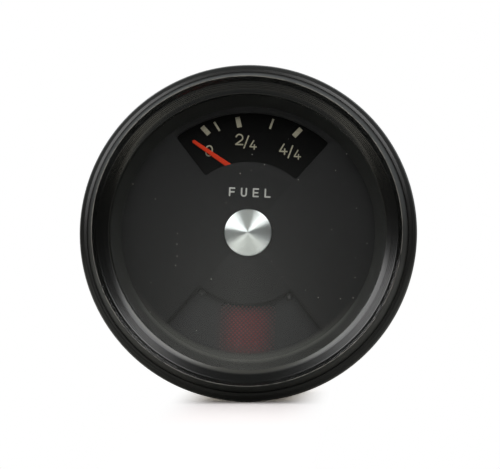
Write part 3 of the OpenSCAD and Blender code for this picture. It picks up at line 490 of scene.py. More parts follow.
def blackPaint():
    black, paintedLipHighlight = (0.004, 0.004, 0.0036), (0.018, 0.0175, 0.0155)
    dustAndPaintedLight, bare = (0.05, 0.049, 0.043), (0.19, 0.18, 0.165)
    rim, faceRoughness, bareRoughness, bareMetal = 39.3 * mm, 0.2, 0.15, 0.8
    material, tree, shader, grain = grainFinish("blackPaint", black, 0.36, bump=0.08)
    marks = grouped(tree, spinMarks, Across=2600.0, Along=20.0, Amount=0.5)
    edge = grouped(tree, rimWearAndHighlight, Radius=rim, Level=-8.95 * mm, Width=0.3 * mm, Break_Up=0.6)
    # The inner lip's lighter line is a painted highlight of its rolled edge, and the lighter band
    # on the lower part of the bevel is painted light.
    lipHighlight = grouped(tree, rimWearAndHighlight, Radius=35.0 * mm, Level=-5.6 * mm, Width=0.45 * mm, Break_Up=0.2)
    dustAndLowLight = grouped(tree, paintedLowLight, Inner=34.8 * mm, Outer=36.0 * mm, Soft=0.4 * mm)
    paint = mixed(tree, dustAndLowLight["Mask"], mixed(tree, lipHighlight["Mask"], black, paintedLipHighlight), dustAndPaintedLight)
    paint = scaled(tree, paint, grain["Tone"], marks["Tone"])
    worn = scaled(tree, bare, marks["Tone"])
    outside = between(tree, marks["Radius"], rim - 0.3 * mm, rim)
    rough = blended(tree, outside, faceRoughness, grain["Roughness"])
    feed(tree, shader, Roughness=timesPlus(tree, edge["Mask"], bareRoughness, rough),
         Base_Color=mixed(tree, edge["Mask"], paint, worn),
         Metallic=times(tree, edge["Mask"], bareMetal),
         Normal=bumped(tree, marks["Height"], strength=0.25, depth=0.012 * mm))
    return material


def sealRubber():
    black, scuffed = (0.006, 0.0057, 0.0052), (0.075, 0.072, 0.066)
    material, tree, shader, grain = grainFinish("sealRubber", black, 0.33, bump=0.3)
    marks = grouped(tree, spinMarks, Across=1800.0, Along=30.0, Amount=0.6)
    scuff = times(tree, marks["Mask"], 0.35)
    rubber = scaled(tree, black, grain["Tone"], marks["Tone"])
    feed(tree, shader, Base_Color=mixed(tree, scuff, rubber, scuffed),
         Normal=bumped(tree, marks["Height"], strength=0.3, depth=0.03 * mm))
    return material


def dialPaint(name, colour, roughness, specks, shine):
    speckGrey = (0.2, 0.195, 0.175)
    material, tree, shader, grain = grainFinish(name, colour, roughness, scale=2600.0, amount=0.22,
                                                clouds=0.12, bump=0.08, depth=0.015 * mm,
                                                Specular_IOR_Level=shine)
    dustAndLowLight = grouped(tree, dustSpecks, Scale=330.0, Share=specks, Size=0.055)
    dustAndPaintedLight = mixed(tree, dustAndLowLight["Mask"], scaled(tree, colour, grain["Tone"]), speckGrey)
    feed(tree, shader, Base_Color=dustAndPaintedLight)
    return material, tree, shader, dustAndPaintedLight


def shadedDialPaint():  # painted shade along the top and sides of the lower window, painted light on the lower part of the ring by the depth ring
    grey, paintedLightGrey = (0.0076, 0.0076, 0.0078), (0.042, 0.042, 0.038)
    material, tree, shader, dustAndPaintedLight = dialPaint("dialPaint", grey, 0.6, specks=0.15, shine=0.12)
    shade = grouped(tree, windowShade, Reach=0.75 * mm)
    lowLight = grouped(tree, paintedLowLight, Inner=31.2 * mm, Outer=33.0 * mm, Soft=0.7 * mm)
    tone = shadeTone(tree, shade["Mask"], 0.06)
    feed(tree, shader,
         Base_Color=mixed(tree, lowLight["Mask"], scaled(tree, dustAndPaintedLight, tone), paintedLightGrey))
    return material


def screenPlastic():  # grey, with a painted red glow over the red lens behind it and painted shade along the window's edges
    grey, paintedGlowRed = (0.0165, 0.0165, 0.0174), (0.075, 0.014, 0.018)
    material, tree, shader, dustAndPaintedLight = dialPaint("screenPlastic", grey, 0.6, specks=0.05, shine=0.12)
    shade = grouped(tree, windowShade, Reach=0.95 * mm)
    glow = grouped(tree, softPatch, X=0.5 * mm, Half_Width=4.9 * mm, Half_Height=5.8 * mm,
                   Soft=7.0 * mm)
    red = mixed(tree, glow["Mask"], dustAndPaintedLight, paintedGlowRed)
    tone = shadeTone(tree, shade["Mask"], 0.08)
    feed(tree, shader, Base_Color=scaled(tree, red, tone))
    return material


def redLens():  # painted shade: darker towards its rim
    colour = (0.55, 0.02, 0.022)
    material, tree, shader, grain = grainFinish("redLens", colour, 0.3, amount=0.1,
                                                Coat_Weight=0.4)
    middle = grouped(tree, softPatch, Half_Width=4.9 * mm, Half_Height=5.0 * mm, Soft=4.5 * mm)
    tone = times(tree, shadeTone(tree, middle["Mask"], 0.15), grain["Tone"])
    feed(tree, shader, Base_Color=scaled(tree, colour, tone))
    return material


def darkPlastic():
    colour, paintedLightGrey = (0.0045, 0.0049, 0.0038), (0.056, 0.056, 0.05)
    material, tree, shader, grain = grainFinish("darkPlastic", colour, 0.45, bump=0.2,
                                                Specular_IOR_Level=0.3)
    marks = grouped(tree, spinMarks, Across=2200.0, Along=15.0, Amount=0.35)
    # Lighter on the lower part of the ring's foot: painted light.
    dustAndLowLight = grouped(tree, paintedLowLight, Inner=31.0 * mm, Outer=33.0 * mm, Soft=0.5 * mm)
    plastic = mixed(tree, dustAndLowLight["Mask"], colour, paintedLightGrey)
    feed(tree, shader, Base_Color=scaled(tree, plastic, grain["Tone"], marks["Tone"]),
         Normal=bumped(tree, marks["Height"], strength=0.2, depth=0.015 * mm))
    return material


def turnedAluminium():
    colour = (0.825, 0.87, 0.87)
    material, tree, shader = newFinish("turnedAluminium", Metallic=1.0, Anisotropic=1.0,
                                       Anisotropic_Rotation=0.25)
    marks = grouped(tree, spinMarks, Across=9000.0, Along=4.0, Amount=0.12)
    grain = grouped(tree, fineGrain, Scale=900.0, Amount=0.03, Clouds=0.05, Roughness=0.3,
                    Roughness_Range=0.03)
    feed(tree, shader, Base_Color=scaled(tree, colour, grain["Tone"], marks["Tone"]),
         Roughness=grain["Roughness"],
         Tangent=made(tree, "ShaderNodeTangent", direction_type="RADIAL", axis="Y"),
         Normal=bumped(tree, marks["Height"], strength=0.08, depth=0.004 * mm))
    return material


def platedSteel(name, colour, roughness, stain):
    material, tree, shader = newFinish(name, Metallic=1.0)
    grain = grouped(tree, fineGrain, Scale=2600.0, Amount=0.08, Clouds=0.25,
                    Roughness=roughness, Roughness_Range=0.14)
    blotches = noiseAt(tree, objectPlace(tree), 260.0, detail=6.0, roughness=0.7)
    patches = between(tree, blotches, 0.52, 0.74)
    metal = scaled(tree, colour, grain["Tone"])
    feed(tree, shader, Base_Color=mixed(tree, times(tree, patches, 0.55), metal, stain),
         Roughness=timesPlus(tree, patches, 0.18, grain["Roughness"]),
         Normal=bumped(tree, grain["Height"], strength=0.12, depth=0.01 * mm))
    return material


def caseSteel():
    colour, stain = (0.6, 0.585, 0.53), (0.36, 0.33, 0.27)
    material, tree, shader = newFinish("caseSteel", Metallic=1.0)
    grain = grouped(tree, fineGrain, Scale=1800.0, Amount=0.07, Clouds=0.3, Roughness=0.36,
                    Roughness_Range=0.12)
    marks = grouped(tree, spinMarks, Across=900.0, Along=18.0, Amount=0.22)
    blotches = noiseAt(tree, objectPlace(tree), 70.0, detail=7.0, roughness=0.72)
    patches = between(tree, blotches, 0.5, 0.72)
    metal = scaled(tree, colour, grain["Tone"], marks["Tone"])
    feed(tree, shader, Base_Color=mixed(tree, times(tree, patches, 0.5), metal, stain),
         Roughness=timesPlus(tree, patches, 0.2, grain["Roughness"]),
         Normal=bumped(tree, marks["Height"], strength=0.16, depth=0.02 * mm))
    return material


def clearGlass(name, tint):
    material, tree, _ = newFinish(name, Base_Color=(*tint, 1.0), Roughness=0.0, IOR=1.5,
                                  Transmission_Weight=1.0)
    path = put(tree, "ShaderNodeLightPath").outputs
    lampRay = calc(tree, "MAXIMUM", path["Is Shadow Ray"], path["Is Diffuse Ray"])
    clear = made(tree, "ShaderNodeBsdfTransparent", {"Color": (*tint, 1.0)})
    end = next(n for n in tree.nodes if n.type == "OUTPUT_MATERIAL")
    glass = end.inputs["Surface"].links[0].from_socket
    both = made(tree, "ShaderNodeMixShader", {0: lampRay, 1: glass, 2: clear})
    tree.links.new(both, end.inputs["Surface"])
    return material


def windingWire():  # enamelled wire laid side by side
    colour = (0.46, 0.17, 0.05)
    material, tree, shader, grain = grainFinish("windingWire", colour, 0.3, Coat_Weight=0.5)
    given = {"Vector": objectPlace(tree), "Scale": 900.0, "Distortion": 0.6}
    turns = put(tree, "ShaderNodeTexWave", given).outputs["Fac"]
    tone = timesPlus(tree, turns, 0.6, 0.6)
    feed(tree, shader, Base_Color=scaled(tree, colour, grain["Tone"], tone),
         Normal=bumped(tree, turns, strength=0.6, depth=0.1 * mm))
    return material


def insulatorBoard():  # pressed board with fibres
    colour = (0.2, 0.1, 0.045)
    material, tree, shader, grain = grainFinish("insulatorBoard", colour, 0.5, bump=0.2)
    stretch = {"Vector": objectPlace(tree), "Scale": (300.0, 900.0, 2400.0)}
    place = made(tree, "ShaderNodeMapping", stretch)
    fibres = noiseAt(tree, place, 1.0, detail=5.0, roughness=0.7)
    tone = timesPlus(tree, fibres, 0.9, 0.55)
    feed(tree, shader, Base_Color=scaled(tree, colour, grain["Tone"], tone))
    return material


finishes = {
    "black_paint": blackPaint(),
    "seal_rubber": sealRubber(),
    "clear_glass": clearGlass("clearGlass", (0.985, 0.99, 0.985)),
    "dark_plastic": darkPlastic(),
    "dial_paint": shadedDialPaint(),
    "turned_aluminium": turnedAluminium(),
    "zinc_steel": platedSteel("zincSteel", (0.62, 0.62, 0.6), 0.34, (0.42, 0.41, 0.38)),
    "dial_print": grainFinish("dialPrint", (0.42, 0.42, 0.39), 0.55, amount=0.2)[0],
    "scale_paint": dialPaint("scalePaint", (0.0018, 0.0018, 0.0018), 0.75, specks=0.02,
                             shine=0.02)[0],
    "scale_print": grainFinish("scalePrint", (0.30, 0.275, 0.2), 0.6, amount=0.25)[0],
    "brass_parts": platedSteel("brassParts", (0.72, 0.54, 0.25), 0.3, (0.34, 0.22, 0.1)),
    "screen_plastic": screenPlastic(),
    "screen_pin": grainFinish("screenPin", (0.022, 0.022, 0.022), 0.33, amount=0.2)[0],
    "red_lens": redLens(),
    "white_plastic": grainFinish("whitePlastic", (0.72, 0.7, 0.62), 0.45, amount=0.06,
                                 clouds=0.2)[0],
    "needle_paint": grainFinish("needlePaint", (0.51, 0.025, 0.0015), 0.5, amount=0.08, clouds=0.2,
                                Specular_IOR_Level=0.12)[0],
    "stud_steel": platedSteel("studSteel", (0.66, 0.62, 0.5), 0.3, (0.4, 0.33, 0.2)),
    "magnet_iron": grainFinish("magnetIron", (0.08, 0.08, 0.085), 0.55, amount=0.3,
                               Metallic=0.9)[0],
    "coil_former": grainFinish("coilFormer", (0.68, 0.63, 0.48), 0.5, clouds=0.2)[0],
    "winding_wire": windingWire(),
    "resistor_ceramic": grainFinish("resistorCeramic", (0.7, 0.67, 0.58), 0.6, bump=0.5)[0],
    "lead_plastic": grainFinish("leadPlastic", (0.36, 0.045, 0.03), 0.4)[0],
    "case_steel": caseSteel(),
    "insulator_board": insulatorBoard(),
    "red_plastic": grainFinish("redPlastic", (0.4, 0.03, 0.02), 0.38, clouds=0.2,
                               Coat_Weight=0.2)[0],
    "bulb_metal": platedSteel("bulbMetal", (0.7, 0.62, 0.42), 0.32, (0.42, 0.36, 0.24)),
}
slotOf = {part["node"]: part["material_slot"] for part in frame["record"]["subparts"]}
for name, node in nodes.items():
    node.data.materials.clear()
    node.data.materials.append(finishes["screen_pin" if name == "screen_rivets" else slotOf[name]])
print("finishes made:", len(finishes))


# Shapes


def arcPoints(centre, radius, start, turn, steps):
    turns = [start + turn * i / steps for i in range(steps + 1)]
    return [(centre[0] + radius * math.cos(t), centre[1] + radius * math.sin(t)) for t in turns]


def roundedCorner(before, corner, after, radius):
    if not radius:
        return [tuple(corner)]
    a, p, b = Vector(before), Vector(corner), Vector(after)
    u, v = (a - p).normalized(), (b - p).normalized()
    half = u.angle(v) / 2
    centre = p + (u + v).normalized() * (radius / math.sin(half))
    start = p + u * (radius / math.tan(half)) - centre
    end = p + v * (radius / math.tan(half)) - centre
    turn = math.atan2(start.x * end.y - start.y * end.x, start.dot(end))
    return arcPoints(centre, radius, math.atan2(start.y, start.x), turn, steps=6)


def roundedOutline(corners):  # closed outline of (radius, level, corner radius)
    points = []
    for i, (x, y, radius) in enumerate(corners):
        before, after = corners[i - 1][:2], corners[(i + 1) % len(corners)][:2]
        points += roundedCorner(before, (x, y), after, radius)
    return points


def movedLeft(points, distance):
    result = []
    for i, point in enumerate(points):
        p = Vector(point)
        steps = []
        for a, b in ((i - 1, i), (i, i + 1)):
            if a >= 0 and b < len(points):
                step = (Vector(points[b]) - Vector(points[a])).normalized()
                steps.append(Vector((-step.y, step.x)))
        bend = sum(steps, Vector((0, 0))).normalized()
        result.append(tuple(p + bend * (distance / bend.dot(steps[0]))))
    return result


def addPiece(name, mesh, body, slot, replaced, smoothAngle=32):
    mesh.polygons.foreach_set("use_smooth", [True] * len(mesh.polygons))
    mesh.set_sharp_from_angle(angle=math.radians(smoothAngle))
    mesh.materials.clear()
    mesh.materials.append(finishes[slot])
    piece = bpy.data.objects.new(name, mesh)
    bpy.context.scene.collection.objects.link(piece)
    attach(piece, body)
    if replaced:
        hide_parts(*replaced)


def turnedMesh(name, outline, segments, dents=()):
    # outline in mm: distance from the axis, and level towards the front
    dentHeight, dentReach = 0.8, 3
    mesh = bpy.data.meshes.new(name)
    shape = bmesh.new()
    rings = []
    for i in range(segments):
        turn = 2 * math.pi * i / segments
        ring = []
        for radius, level in outline:
            for angle, width, depth, where in dents:
                away = (math.degrees(turn) - angle + 180) % 360 - 180
                arc = math.radians(away) * radius
                near = math.hypot(arc / width, (level - where) / dentHeight)
                level -= depth * math.exp(-near * near) if near < dentReach else 0
            place = Vector((radius * math.sin(turn), -level, radius * math.cos(turn)))
            ring.append(shape.verts.new(place * mm))
        rings.append(ring)
    count = len(outline)
    for i in range(segments):
        here, there = rings[i], rings[(i + 1) % segments]
        for j in range(count):
            k = (j + 1) % count
            shape.faces.new((here[j], here[k], there[k], there[j]))
    bmesh.ops.remove_doubles(shape, verts=shape.verts, dist=1e-7)
    bmesh.ops.recalc_face_normals(shape, faces=shape.faces)
    shape.to_mesh(mesh)
    shape.free()
    return mesh


easing = {"weld": 2e-6, "flat": math.radians(1.0), "sharp": math.radians(30), "segments": 2}


def bevelledMesh(node, width, values):  # a CAD node's shape with its sharp edges eased
    source = nodes[node].data
    plain = bpy.data.meshes.new(node + ".eased")
    corners = [tuple(v.co) for v in source.vertices]
    plain.from_pydata(corners, [], [tuple(p.vertices) for p in source.polygons])
    shape = bmesh.new()
    shape.from_mesh(plain)
    bmesh.ops.remove_doubles(shape, verts=shape.verts, dist=values["weld"])
    bmesh.ops.dissolve_limit(shape, angle_limit=values["flat"], verts=shape.verts,
                             edges=shape.edges)
    folded = [e for e in shape.edges if len(e.link_faces) == 2]
    sharp = [e for e in folded if e.calc_face_angle(0) > values["sharp"]]
    bmesh.ops.bevel(shape, geom=sharp, offset=width, segments=values["segments"], profile=0.5,
                    affect="EDGES", clamp_overlap=True)
    bmesh.ops.triangulate(shape, faces=[f for f in shape.faces if len(f.verts) > 4])
    bmesh.ops.recalc_face_normals(shape, faces=shape.faces)
    shape.to_mesh(plain)
    shape.free()
    return plain


# Bezel

bezel = {
    "outline": [(39.6, 0.55), (41.2, 0.55), (41.2, 3.45), (39.3, 9.0), (38.2, 6.8), (35.0, 5.6)],
    "corners": [0.0, 0.4, 1.0, 0.15, 0.5, 0.3],
    "innerLip": 0.2,
    "sheet": 0.6,
    "grooves": [37.75, 37.35, 36.95, 36.6],
    "grooveHalf": 0.06,
    "grooveDepth": 0.06,
    "landSlope": 0.36,
    "throat": (36.3, 6.12),
    "dents": [(97.5, 0.7, 0.28, 9.0), (118.0, 0.9, 0.2, 9.0), (121.0, 0.5, 0.14, 9.0)],
    "segments": 360,
}


def makeBezel(values):
    outer = values["outline"]
    inner = movedLeft(outer, values["sheet"])
    corners = [(*p, r) for p, r in zip(outer, values["corners"])]
    topRadius, topLevel = outer[4]
    half, slope = values["grooveHalf"], values["landSlope"]
    cuts = []
    for radius in values["grooves"]:
        level = topLevel - slope * (topRadius - radius)
        bottom = (radius, level - values["grooveDepth"])
        cuts += [(radius + half, level + slope * half), bottom,
                 (radius - half, level - slope * half)]
    corners[5:5] = [(*p, 0.0) for p in cuts + [values["throat"]]]
    innerRadii = [max(r - values["sheet"], 0.0) for r in values["corners"]]
    innerRadii[-1] = values["innerLip"]
    corners += [(*p, r) for p, r in reversed(list(zip(inner, innerRadii)))]
    outline = roundedOutline(corners)
    mesh = turnedMesh("bezelRing", outline, values["segments"], values["dents"])
    addPiece("bezelRing", mesh, "gauge", "black_paint", ["bezel_ring"])


makeBezel(bezel)

# Pieces turned from a plain outline of (radius, level, corner radius)

turnedPieces = {
    "panelSeal": {
        "slot": "seal_rubber", "replaced": "panel_seal", "segments": 256,
        "corners": [(39.35, 0.5, 0), (39.35, 0.3, 0), (39.9, 0.0, 0), (43.0, 0.0, 0.6),
                    (43.0, 2.2, 0.5), (42.62, 3.2, 0.7), (41.75, 4.12, 0.5), (40.9, 4.42, 0.05),
                    (41.02, 3.82, 0), (41.25, 3.3, 0), (41.25, 0.5, 0)],
    },
    "frontPane": {
        "slot": "clear_glass", "replaced": "front_glass", "segments": 192,
        "corners": [(0, 3.15, 0), (39.3, 3.15, 0), (39.5, 3.35, 0), (39.5, 4.55, 0),
                    (39.3, 4.75, 0), (0, 4.75, 0)],
    },
    "depthCone": {
        "slot": "dark_plastic", "replaced": "depth_ring", "segments": 256,
        "corners": [(32.2, 0.75, 0.1), (38.5, 0.75, 0), (38.5, 1.95, 0), (40.3, 1.95, 0),
                    (40.3, 3.15, 0), (35.0, 3.15, 0.12)],
    },
}
for name, values in turnedPieces.items():
    mesh = turnedMesh(name, roundedOutline(values["corners"]), values["segments"])
    addPiece(name, mesh, "gauge", values["slot"], [values["replaced"]])

# Centre cap

cap = {
    "radius": 6.0, "face": 0.75, "rim": 0.6, "cone": 1.1, "pin": 1.0, "pinDepth": 1.7,
    "chamfer": 0.2, "shoulder": 0.18, "ringStart": 0.22, "rings": 26, "ringDepth": 0.006,
    "segments": 192,
}


def makeCap(values):
    r, face, pin = values["radius"], values["face"], values["pin"]
    top, soft, chamfer = face + values["rim"], values["shoulder"], values["chamfer"]
    foot = face - values["pinDepth"]
    outline = [(0, foot), (pin, foot), (pin, face), (r - chamfer, face), (r, face + chamfer)]
    outline += arcPoints((r - soft, top - soft), soft, start=0, turn=math.radians(80), steps=5)
    steps = values["rings"] * 4
    for i in range(steps):
        radius = (r - values["ringStart"]) * (1 - i / steps)
        wave = values["ringDepth"] * math.sin(i * math.pi / 2)
        outline.append((radius, top + values["cone"] * (1 - radius / r) + wave))
    outline.append((0, top + values["cone"]))
    mesh = turnedMesh("turnedCap", outline, values["segments"])
    addPiece("turnedCap", mesh, "gauge", "turned_aluminium", ["centre_cap"], smoothAngle=60)


makeCap(cap)
print("front pieces turned")

# Pieces that keep the CAD shape, with eased edges

easedPieces = {
    "dialFace": ("dial_mask", "gauge", 0.12),
    "pointerBlade": ("pointer", "needle", 0.07),
    "terminalBoard": ("terminal_plate", "gauge", 0.15),
    "supplyBlade": ("supply_terminal", "gauge", 0.1),
    "senderBlade": ("sender_terminal", "gauge", 0.1),
    "earthBlade": ("earth_terminal", "gauge", 0.1),
    "dialLampHolder": ("dial_lamp_holder", "dial_lamp", 0.2),
    "dialLampLug": ("dial_lamp_lug", "dial_lamp", 0.1),
    "warningLampHolder": ("warning_lamp_holder", "warning_lamp", 0.2),
    "warningLampLug": ("warning_lamp_lug", "warning_lamp", 0.1),
    "leftWasher": ("washer_left", "left_washer", 0.1),
    "rightWasher": ("washer_right", "right_washer", 0.1),
}
for name, (node, body, width) in easedPieces.items():
    addPiece(name, bevelledMesh(node, width * mm, easing), body, slotOf[node], [node])
print("edges eased:", len(easedPieces))

# Geometry Nodes: what repeats or follows a rule


def growTree(name, inputs):
    tree = bpy.data.node_groups.new(name, "GeometryNodeTree")
    tree.interface.new_socket("Geometry", in_out="INPUT", socket_type="NodeSocketGeometry")
    for label, value in inputs.items():
        kind = "NodeSocketInt" if isinstance(value, int) else "NodeSocketFloat"
        tree.interface.new_socket(label, in_out="INPUT", socket_type=kind).default_value = value
    tree.interface.new_socket("Finish", in_out="INPUT", socket_type="NodeSocketMaterial")
    tree.interface.new_socket("Geometry", in_out="OUTPUT", socket_type="NodeSocketGeometry")
    given = tree.nodes.new("NodeGroupInput").outputs
    return tree, given, tree.nodes.new("NodeGroupOutput").inputs[0]


def sheetToWrap(tree, rows, columns):  # a flat sheet, its turn and its rows
    given = {"Size X": 1.0, "Size Y": 1.0, "Vertices X": columns, "Vertices Y": rows}
    sheet = put(tree, "GeometryNodeMeshGrid", given).outputs["Mesh"]
    axes = axesOf(tree, made(tree, "GeometryNodeInputPosition"))
    turn = times(tree, plus(tree, axes["X"], 0.5), math.tau)
    last = minus(tree, rows, 1.0)
    row = calc(tree, "ROUND", times(tree, plus(tree, axes["Y"], 0.5), last))
    return sheet, turn, row, last


def wrapSheet(tree, given, sheet, turn, radius, level, result):
    x = times(tree, radius, calc(tree, "COSINE", turn))
    z = times(tree, radius, calc(tree, "SINE", turn))
    place = combined(tree, X=x, Y=level, Z=z)
    moved = made(tree, "GeometryNodeSetPosition", {"Geometry": sheet, "Position": place})
    whole = made(tree, "GeometryNodeMergeByDistance", {"Geometry": moved, "Distance": 2e-6})
    return placeCopies(tree, given, whole, result)


def byRow(tree, row, values, rest):  # the first rows have values of their own
    for index, value in reversed(list(enumerate(values))):
        first = calc(tree, "LESS_THAN", row, index + 0.5)
        rest = blended(tree, first, rest, value)
    return rest


def placeCopies(tree, given, shape, result):  # one shape on each point of the carrier
    points = {"Points": given["Geometry"], "Instance": shape}
    copies = made(tree, "GeometryNodeInstanceOnPoints", points)
    real = made(tree, "GeometryNodeRealizeInstances", {"Geometry": copies})
    painted = {"Geometry": real, "Material": given["Finish"]}
    tree.links.new(made(tree, "GeometryNodeSetMaterial", painted), result)
    return tree


def grownMesh(name, tree, places, values, slot):
    points = bpy.data.meshes.new(name + "Points")
    points.from_pydata([Vector(place) * mm for place in places], [], [])
    carrier = bpy.data.objects.new(name + "Carrier", points)
    bpy.context.scene.collection.objects.link(carrier)
    modifier = carrier.modifiers.new("grown", "NODES")
    modifier.node_group = tree
    for item in tree.interface.items_tree:
        if item.in_out == "INPUT" and item.name == "Finish":
            modifier[item.identifier] = finishes[slot]
        elif item.in_out == "INPUT" and item.name in values:
            modifier[item.identifier] = values[item.name]
    graph = bpy.context.evaluated_depsgraph_get()
    mesh = bpy.data.meshes.new_from_object(carrier.evaluated_get(graph))
    carrier.modifiers.clear()
    bpy.data.objects.remove(carrier)
    mesh.name = name
    return joinedMesh([mesh])


def growPiece(name, tree, places, sizes, body, slot, replaced, smoothAngle):
    mesh = grownMesh(name, tree, places, sizes, slot)
    addPiece(name, mesh, body, slot, replaced, smoothAngle)


def joinedMesh(meshes):
    shape = bmesh.new()
    for mesh in meshes:
        shape.from_mesh(mesh)
    bmesh.ops.recalc_face_normals(shape, faces=shape.faces)
    shape.to_mesh(meshes[0])
    shape.free()
    return meshes[0]


# Mounting studs: a hidden head, a plain shank and a right-hand thread at the back

studs = {
    "places": [(-25, 0, 0), (25, 0, 0)],
    "sizes": {"Radius": 2.0 * mm, "Depth": 0.4 * mm, "Pitch": 0.7 * mm, "Head Radius": 3.3 * mm,
              "Head Height": 1.1 * mm, "Start": 3.15 * mm, "Thread Start": 33.0 * mm,
              "End": 56.0 * mm, "Chamfer": 0.5 * mm, "Rows": 260, "Columns": 33},
}


def makeStudTree(start):
    tree, given, result = growTree("threadedStud", start)
    sheet, turn, row, last = sheetToWrap(tree, given["Rows"], given["Columns"])
    headEnd = minus(tree, given["Start"], given["Head Height"])
    length = minus(tree, given["End"], given["Thread Start"])
    threadRows = minus(tree, last, 5.0)
    along = over(tree, minus(tree, row, 4.0), threadRows)
    rising = timesPlus(tree, along, length, given["Thread Start"])
    level = calc(tree, "MINIMUM", rising, given["End"])
    turns = plus(tree, over(tree, level, given["Pitch"]), over(tree, turn, math.tau))
    valley = minus(tree, times(tree, calc(tree, "FRACT", turns), 2.0), 1.0)
    slope = minus(tree, 1.0, calc(tree, "ABSOLUTE", valley))
    flank = timesPlus(tree, slope, 1.25, -0.125, clamp=True)
    runIn = over(tree, minus(tree, level, given["Thread Start"]), given["Pitch"])
    cut = times(tree, times(tree, flank, given["Depth"]), between(tree, runIn, 0.5, 2.5))
    crest = minus(tree, given["Radius"], cut)
    left = plus(tree, given["Radius"], minus(tree, given["End"], level))
    tip = minus(tree, left, given["Chamfer"])
    threaded = calc(tree, "MINIMUM", crest, tip)
    unclosed = calc(tree, "LESS_THAN", row, minus(tree, last, 0.5))
    threaded = times(tree, threaded, unclosed)
    head = given["Head Radius"]
    radius = byRow(tree, row, [0.0, head, head, given["Radius"]], threaded)
    level = byRow(tree, row, [headEnd, headEnd, given["Start"], given["Start"]], level)
    return wrapSheet(tree, given, sheet, turn, radius, level, result)


growPiece("threadedStuds", makeStudTree(studs["sizes"]), studs["places"], studs["sizes"],
          "gauge", "stud_steel", ["mounting_studs"], smoothAngle=40)

# Lock nuts: six sides with both faces chamfered

lockNuts = {
    "sizes": {"Half Width": 3.5 * mm, "Bore": 2.04 * mm, "Low": 38.0 * mm, "High": 40.4 * mm,
              "Face": 0.95, "Slope": 0.55, "Columns": 49},
}


def makeHexTree(start):
    tree, given, result = growTree("hexNut", start)
    sheet, turn, row, _ = sheetToWrap(tree, rows=7, columns=given["Columns"])
    sixth = calc(tree, "MODULO", turn, math.radians(60))
    offset = minus(tree, sixth, math.radians(30))
    side = over(tree, given["Half Width"], calc(tree, "COSINE", offset))
    face = times(tree, given["Half Width"], given["Face"])
    drop = times(tree, minus(tree, side, face), given["Slope"])
    low, high, bore = given["Low"], given["High"], given["Bore"]
    radius = byRow(tree, row, [bore, bore, face, side, side, face], bore)
    above, below = minus(tree, high, drop), plus(tree, low, drop)
    level = byRow(tree, row, [low, high, high, above, below, low], low)
    return wrapSheet(tree, given, sheet, turn, radius, level, result)


growPiece("lockNuts", makeHexTree(lockNuts["sizes"]), studs["places"], lockNuts["sizes"],
          "gauge", "stud_steel", ["stud_lock_nuts"], smoothAngle=25)

# Thumb nuts: straight knurling round the rim and a collar towards the case

thumbNuts = {
    "sizes": {"Radius": 5.5 * mm, "Bore": 2.04 * mm, "Collar": 3.74 * mm, "Low": 41.2 * mm,
              "High": 46.2 * mm, "Collar Height": 1.0 * mm, "Edge": 0.5 * mm,
              "Knurl Depth": 0.38 * mm, "Knurls": 28, "Columns": 337},
}


def makeThumbTree(start):
    tree, given, result = growTree("thumbNut", start)
    sheet, turn, row, _ = sheetToWrap(tree, rows=12, columns=given["Columns"])
    low, high, bore, rim, edge = (given[k] for k in ("Low", "High", "Bore", "Radius", "Edge"))
    waist = plus(tree, low, given["Collar Height"])
    inner = minus(tree, rim, edge)
    mouth = plus(tree, bore, times(tree, edge, 0.8))
    below = minus(tree, high, edge)
    above = plus(tree, waist, times(tree, edge, 0.8))
    dish = minus(tree, high, times(tree, edge, 0.3))  # a shallow turned step in the outer face
    radii = [bore, mouth, times(tree, rim, 0.62), times(tree, rim, 0.66), inner, rim, rim,
             inner, given["Collar"], given["Collar"], bore]
    levels = [below, high, high, dish, dish, below, above, waist, waist, low, low]
    profile = byRow(tree, row, radii, bore)
    level = byRow(tree, row, levels, below)
    phase = calc(tree, "FRACT", over(tree, times(tree, turn, given["Knurls"]), math.tau))
    middle = calc(tree, "ABSOLUTE", timesPlus(tree, phase, 2.0, -1.0))
    groove = timesPlus(tree, middle, -1.7, 1.2, clamp=True)
    knurled = minus(tree, rim, times(tree, groove, given["Knurl Depth"]))
    radius = calc(tree, "MINIMUM", profile, knurled)
    return wrapSheet(tree, given, sheet, turn, radius, level, result)


thumbTree = makeThumbTree(thumbNuts["sizes"])
for side, place in zip(("left", "right"), studs["places"]):
    growPiece(side + "ThumbNut", thumbTree, [place], thumbNuts["sizes"],
              side + "_nut", "brass_parts", ["thumb_nut_" + side], smoothAngle=25)

# Terminal rivets: domed heads outside, flat heads inside

rivets = {
    "live": [(-7, 0, -12.8), (7, 0, -12.8)],
    "earth": [(21, 0, -20)],
    "sizes": {"Head": 2.0 * mm, "Height": 0.8 * mm, "Shank": 1.2 * mm, "Outer": 40.3 * mm,
              "Inner": 36.2 * mm, "Columns": 29},
    "earthStack": {"Outer": 38.8 * mm, "Inner": 37.2 * mm},
}


def makeRivetTree(start):
    tree, given, result = growTree("domedRivet", start)
    sheet, turn, row, _ = sheetToWrap(tree, rows=13, columns=given["Columns"])
    head, shank, inner, outer = (given[k] for k in ("Head", "Shank", "Inner", "Outer"))
    quarter = times(tree, minus(tree, 12.0, row), math.radians(90 / 6))
    back = minus(tree, inner, given["Height"])
    soft = timesPlus(tree, given["Height"], 0.25, back)
    narrow = times(tree, head, 0.9)
    dome = times(tree, head, calc(tree, "SINE", quarter))
    crown = timesPlus(tree, given["Height"], calc(tree, "COSINE", quarter), outer)
    radius = byRow(tree, row, [0.0, narrow, head, head, shank, shank], dome)
    level = byRow(tree, row, [back, back, soft, inner, inner, outer], crown)
    return wrapSheet(tree, given, sheet, turn, radius, level, result)


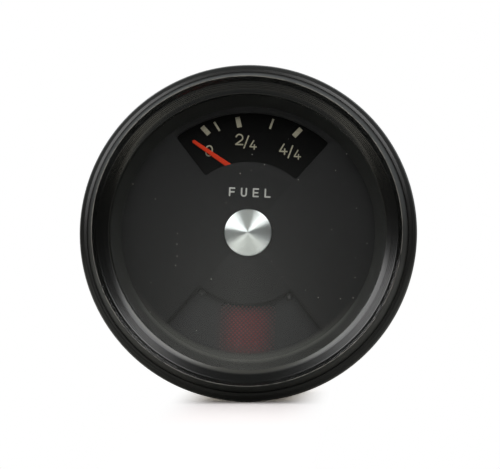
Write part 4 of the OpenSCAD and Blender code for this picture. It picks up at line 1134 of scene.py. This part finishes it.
rivetTree = makeRivetTree(rivets["sizes"])
live = grownMesh("domedRivets", rivetTree, rivets["live"], rivets["sizes"], "brass_parts")
sizes = {**rivets["sizes"], **rivets["earthStack"]}
earth = grownMesh("earthRivet", rivetTree, rivets["earth"], sizes, "brass_parts")
addPiece("domedRivets", joinedMesh([live, earth]), "gauge", "brass_parts", ["terminal_rivets"],
         smoothAngle=40)

# Filaments inside the two bulbs

filaments = {
    "lamps": {"dialFilament": ("dial_lamp", (-19, 0, 21)),
              "warningFilament": ("warning_lamp", (0, 0, -24.5))},
    "sizes": {"Turns": 9.0, "Coil Radius": 0.36 * mm, "Wire": 0.07 * mm, "Post": 0.14 * mm,
              "Half Span": 1.7 * mm, "Coil Level": 22.3 * mm, "Foot Level": 29.4 * mm},
}


def tubeAlong(tree, curve, radius, sides):
    ring = made(tree, "GeometryNodeCurvePrimitiveCircle", {"Resolution": sides, "Radius": radius},
                mode="RADIUS")
    given = {"Curve": curve, "Profile Curve": ring, "Fill Caps": True}
    return made(tree, "GeometryNodeCurveToMesh", given)


def makeFilamentTree(start):
    tree, given, result = growTree("filament", start)
    span = times(tree, given["Half Span"], 2.0)
    spiral = made(tree, "GeometryNodeCurveSpiral", {
        "Resolution": 14, "Rotations": given["Turns"], "Start Radius": given["Coil Radius"],
        "End Radius": given["Coil Radius"], "Height": span})
    coil = tubeAlong(tree, spiral, given["Wire"], 6)
    left = times(tree, given["Half Span"], -1.0)
    laid = {"Geometry": coil, "Rotation": (0, math.radians(90), 0),
            "Translation": combined(tree, X=left, Y=given["Coil Level"])}
    parts = [made(tree, "GeometryNodeTransform", laid)]
    for side in (left, given["Half Span"]):
        foot = times(tree, side, 0.6)
        top = combined(tree, X=side, Y=given["Coil Level"])
        low = combined(tree, X=foot, Y=given["Foot Level"])
        post = made(tree, "GeometryNodeCurvePrimitiveLine", {"Start": low, "End": top})
        parts.append(tubeAlong(tree, post, given["Post"], 8))
    whole = tree.nodes.new("GeometryNodeJoinGeometry")
    for part in parts:
        tree.links.new(part, whole.inputs[0])
    return placeCopies(tree, given, whole.outputs[0], result)


filamentTree = makeFilamentTree(filaments["sizes"])
for name, (body, place) in filaments["lamps"].items():
    growPiece(name, filamentTree, [place], filaments["sizes"], body, "bulb_metal", [],
              smoothAngle=60)
print("threads, nuts, rivets and filaments grown")
